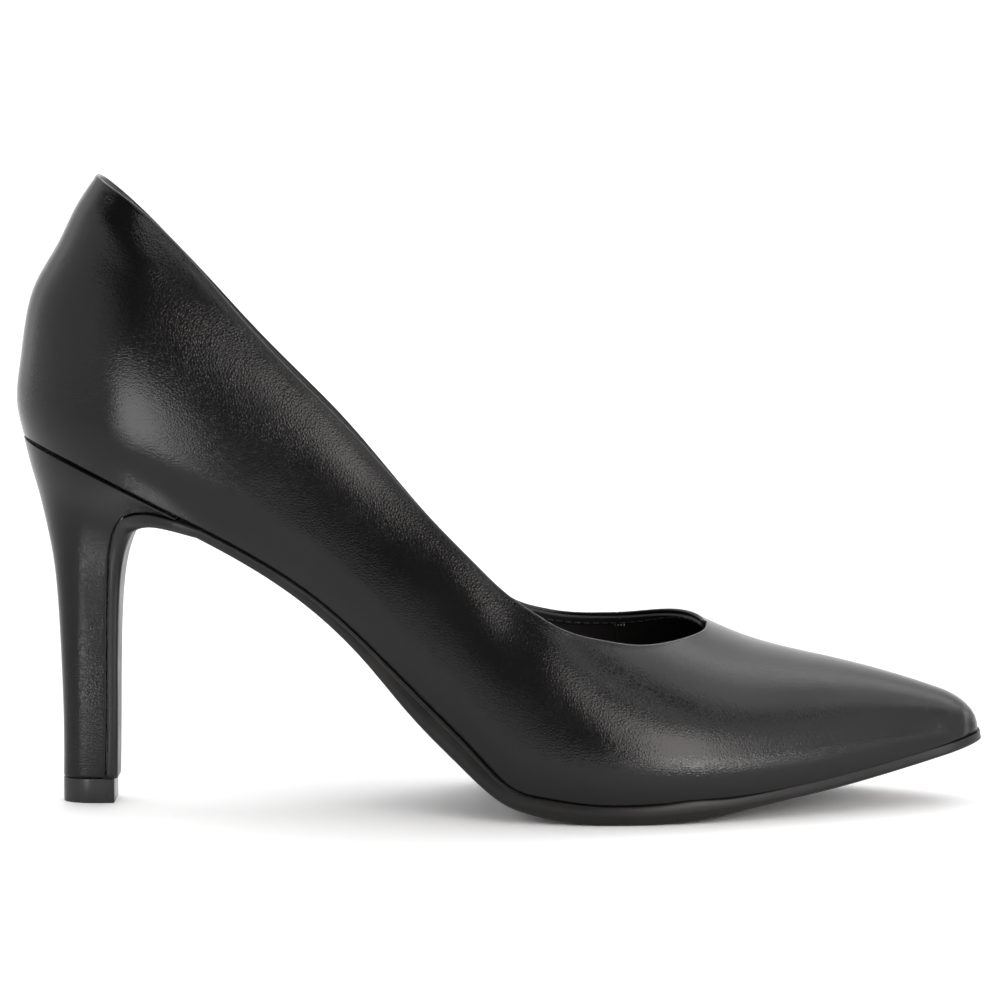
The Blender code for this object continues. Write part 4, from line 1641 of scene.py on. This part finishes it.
@dataclass
class Studio:
    """Pale floor running up into a backdrop, soft lights and the camera."""

    lights: tuple[Softbox, ...]
    world: float = 0.07
    camera_place: Point = (-0.0005, -0.99396, 0.18373)
    camera_target: Point = (-0.0005, 0.0, 0.0740)
    view_width: float = 0.2439  # what the frame takes in, at a metre
    sensor: float = 36.0
    floor_half: float = 3.0
    bend_start: float = 0.9
    bend: float = 0.5
    wall_height: float = 2.2

    def build(self) -> None:
        """Makes floor, lights, world light and camera."""
        self.build_floor()
        for light in self.lights:
            self.build_light(light)
        world = bpy.data.worlds.new("studio")
        world.use_nodes = True
        background = world.node_tree.nodes["Background"].inputs
        background["Strength"].default_value = self.world
        background["Color"].default_value = (1.0, 1.0, 1.0, 1.0)
        bpy.context.scene.world = world
        self.build_camera()

    def build_floor(self) -> None:
        """A strip that runs from the front, level, round a quarter circle and up as the backdrop."""
        turn = np.linspace(0, RIGHT_ANGLE, 17)
        y = np.concatenate([
            [-self.floor_half], np.linspace(-1, self.bend_start, 12)[:-1],
            self.bend_start + self.bend * np.sin(turn), [self.bend_start + self.bend],
        ])
        z = np.concatenate([
            np.zeros(12), self.bend * (1 - np.cos(turn)), [self.wall_height],
        ])
        x = np.linspace(-self.floor_half, self.floor_half, 13)
        grid = np.stack(np.broadcast_arrays(x[None, :], y[:, None], z[:, None]), axis=-1)
        mesh = Surface.of_grid(grid).mesh("floor")
        mesh.materials.append(FLOOR_FINISH.material())
        if mesh.polygons[0].normal.z < 0:
            mesh.flip_normals()
        floor = bpy.data.objects.new("floor", mesh)
        bpy.context.scene.collection.objects.link(floor)

    @staticmethod
    def aimed(data: bpy.types.ID, place: Point, target: Point) -> bpy.types.Object:
        """Adds a light or camera that looks from one point at another.

        Args:
            data: the light or camera.
            place: where it stands.
            target: where it points.

        Returns:
            The object.
        """
        thing = bpy.data.objects.new(data.name, data)
        thing.location = place
        aim = Vector(target) - Vector(place)
        thing.rotation_euler = aim.to_track_quat("-Z", "Y").to_euler()
        bpy.context.scene.collection.objects.link(thing)
        return thing

    def build_light(self, softbox: Softbox) -> None:
        """Hangs one softbox, turned to its target.

        Args:
            softbox: the light.
        """
        data = bpy.data.lights.new(softbox.name, "AREA")
        data.shape = "RECTANGLE"
        data.size, data.size_y = softbox.width, softbox.height
        data.energy = softbox.power()
        data.color = softbox.colour
        self.aimed(data, softbox.place, softbox.target)

    def build_camera(self) -> None:
        """Puts the camera at the photo's angle: low, from the outer side."""
        data = bpy.data.cameras.new("camera")
        data.sensor_width = self.sensor
        data.lens = self.sensor / self.view_width
        data.clip_start, data.clip_end = 0.01, 100.0
        bpy.context.scene.camera = self.aimed(data, self.camera_place, self.camera_target)


LIGHTS = (
    Softbox("top", (0.10, 0.10, 1.60), (0.10, 0.10, 0.0), 1.2, 0.9, 0.85),
    Softbox("top_back", (0.10, 1.05, 1.60), (0.10, 1.05, 0.0), 2.6, 1.0, 1.95),
    Softbox("top_left", (-0.85, 0.10, 1.60), (-0.85, 0.10, 0.0), 0.7, 0.9, 1.8),
    Softbox("top_right", (1.05, 0.10, 1.60), (1.05, 0.10, 0.0), 0.7, 0.9, 1.6),
    Softbox("left", (-1.00, -0.35, 0.52), (0.0, -0.35, 0.52), 2.4, 1.0, 0.85),
    Softbox("right", (1.00, -0.05, 0.67), (0.0, -0.05, 0.67), 1.9, 1.3, 1.15),
    Softbox("back", (0.0, 0.60, 1.20), (0.0, 1.30, 0.30), 2.4, 0.3, 1.2),
    Softbox("card_left", (-0.098, -0.115, 0.093), (-0.084, -0.035, 0.095), 0.050, 0.042, 4.5),
    Softbox("heel_strip", (-0.1190, -0.064, 0.016), (-0.099, -0.006, 0.016), 0.006, 0.030, 12.0),
    Softbox("floor_card_right", (0.135, -0.180, 0.004), (0.135, -0.180, 1.0), 0.12, 0.18, 9.0),
    Softbox("panel_right", (0.296, -0.500, 0.185), (0.020, -0.030, 0.185), 0.33, 0.37, 4.7,
            colour=(1.0, 0.95, 0.93)),
    Softbox("left_front", (-0.78, -1.55, 0.52), (0.0, 0.0, 0.52), 0.50, 1.0, 0.5),
    Softbox("panel_top", (0.25, -0.50, 0.98), (-0.04, -0.03, 0.10), 0.35, 0.45, 1.8),
    Softbox("panel_high", (0.380, -0.470, 0.580), (0.030, -0.030, 0.20), 0.24, 0.32, 1.0),
)


def main() -> None:
    """Builds the shoe piece by piece, then the studio."""
    logging.basicConfig(level=logging.INFO, format="%(name)s: %(message)s")
    last = Last()
    heel = HeelBlock(last)
    Upper(last).build()
    Outsole(last, heel).build()
    Insole(last).build()
    heel.build()
    TopPiece(heel).build()
    Studio(LIGHTS).build()
    bpy.context.scene.view_settings.view_transform = "Standard"


if __name__ == "__main__":
    main()
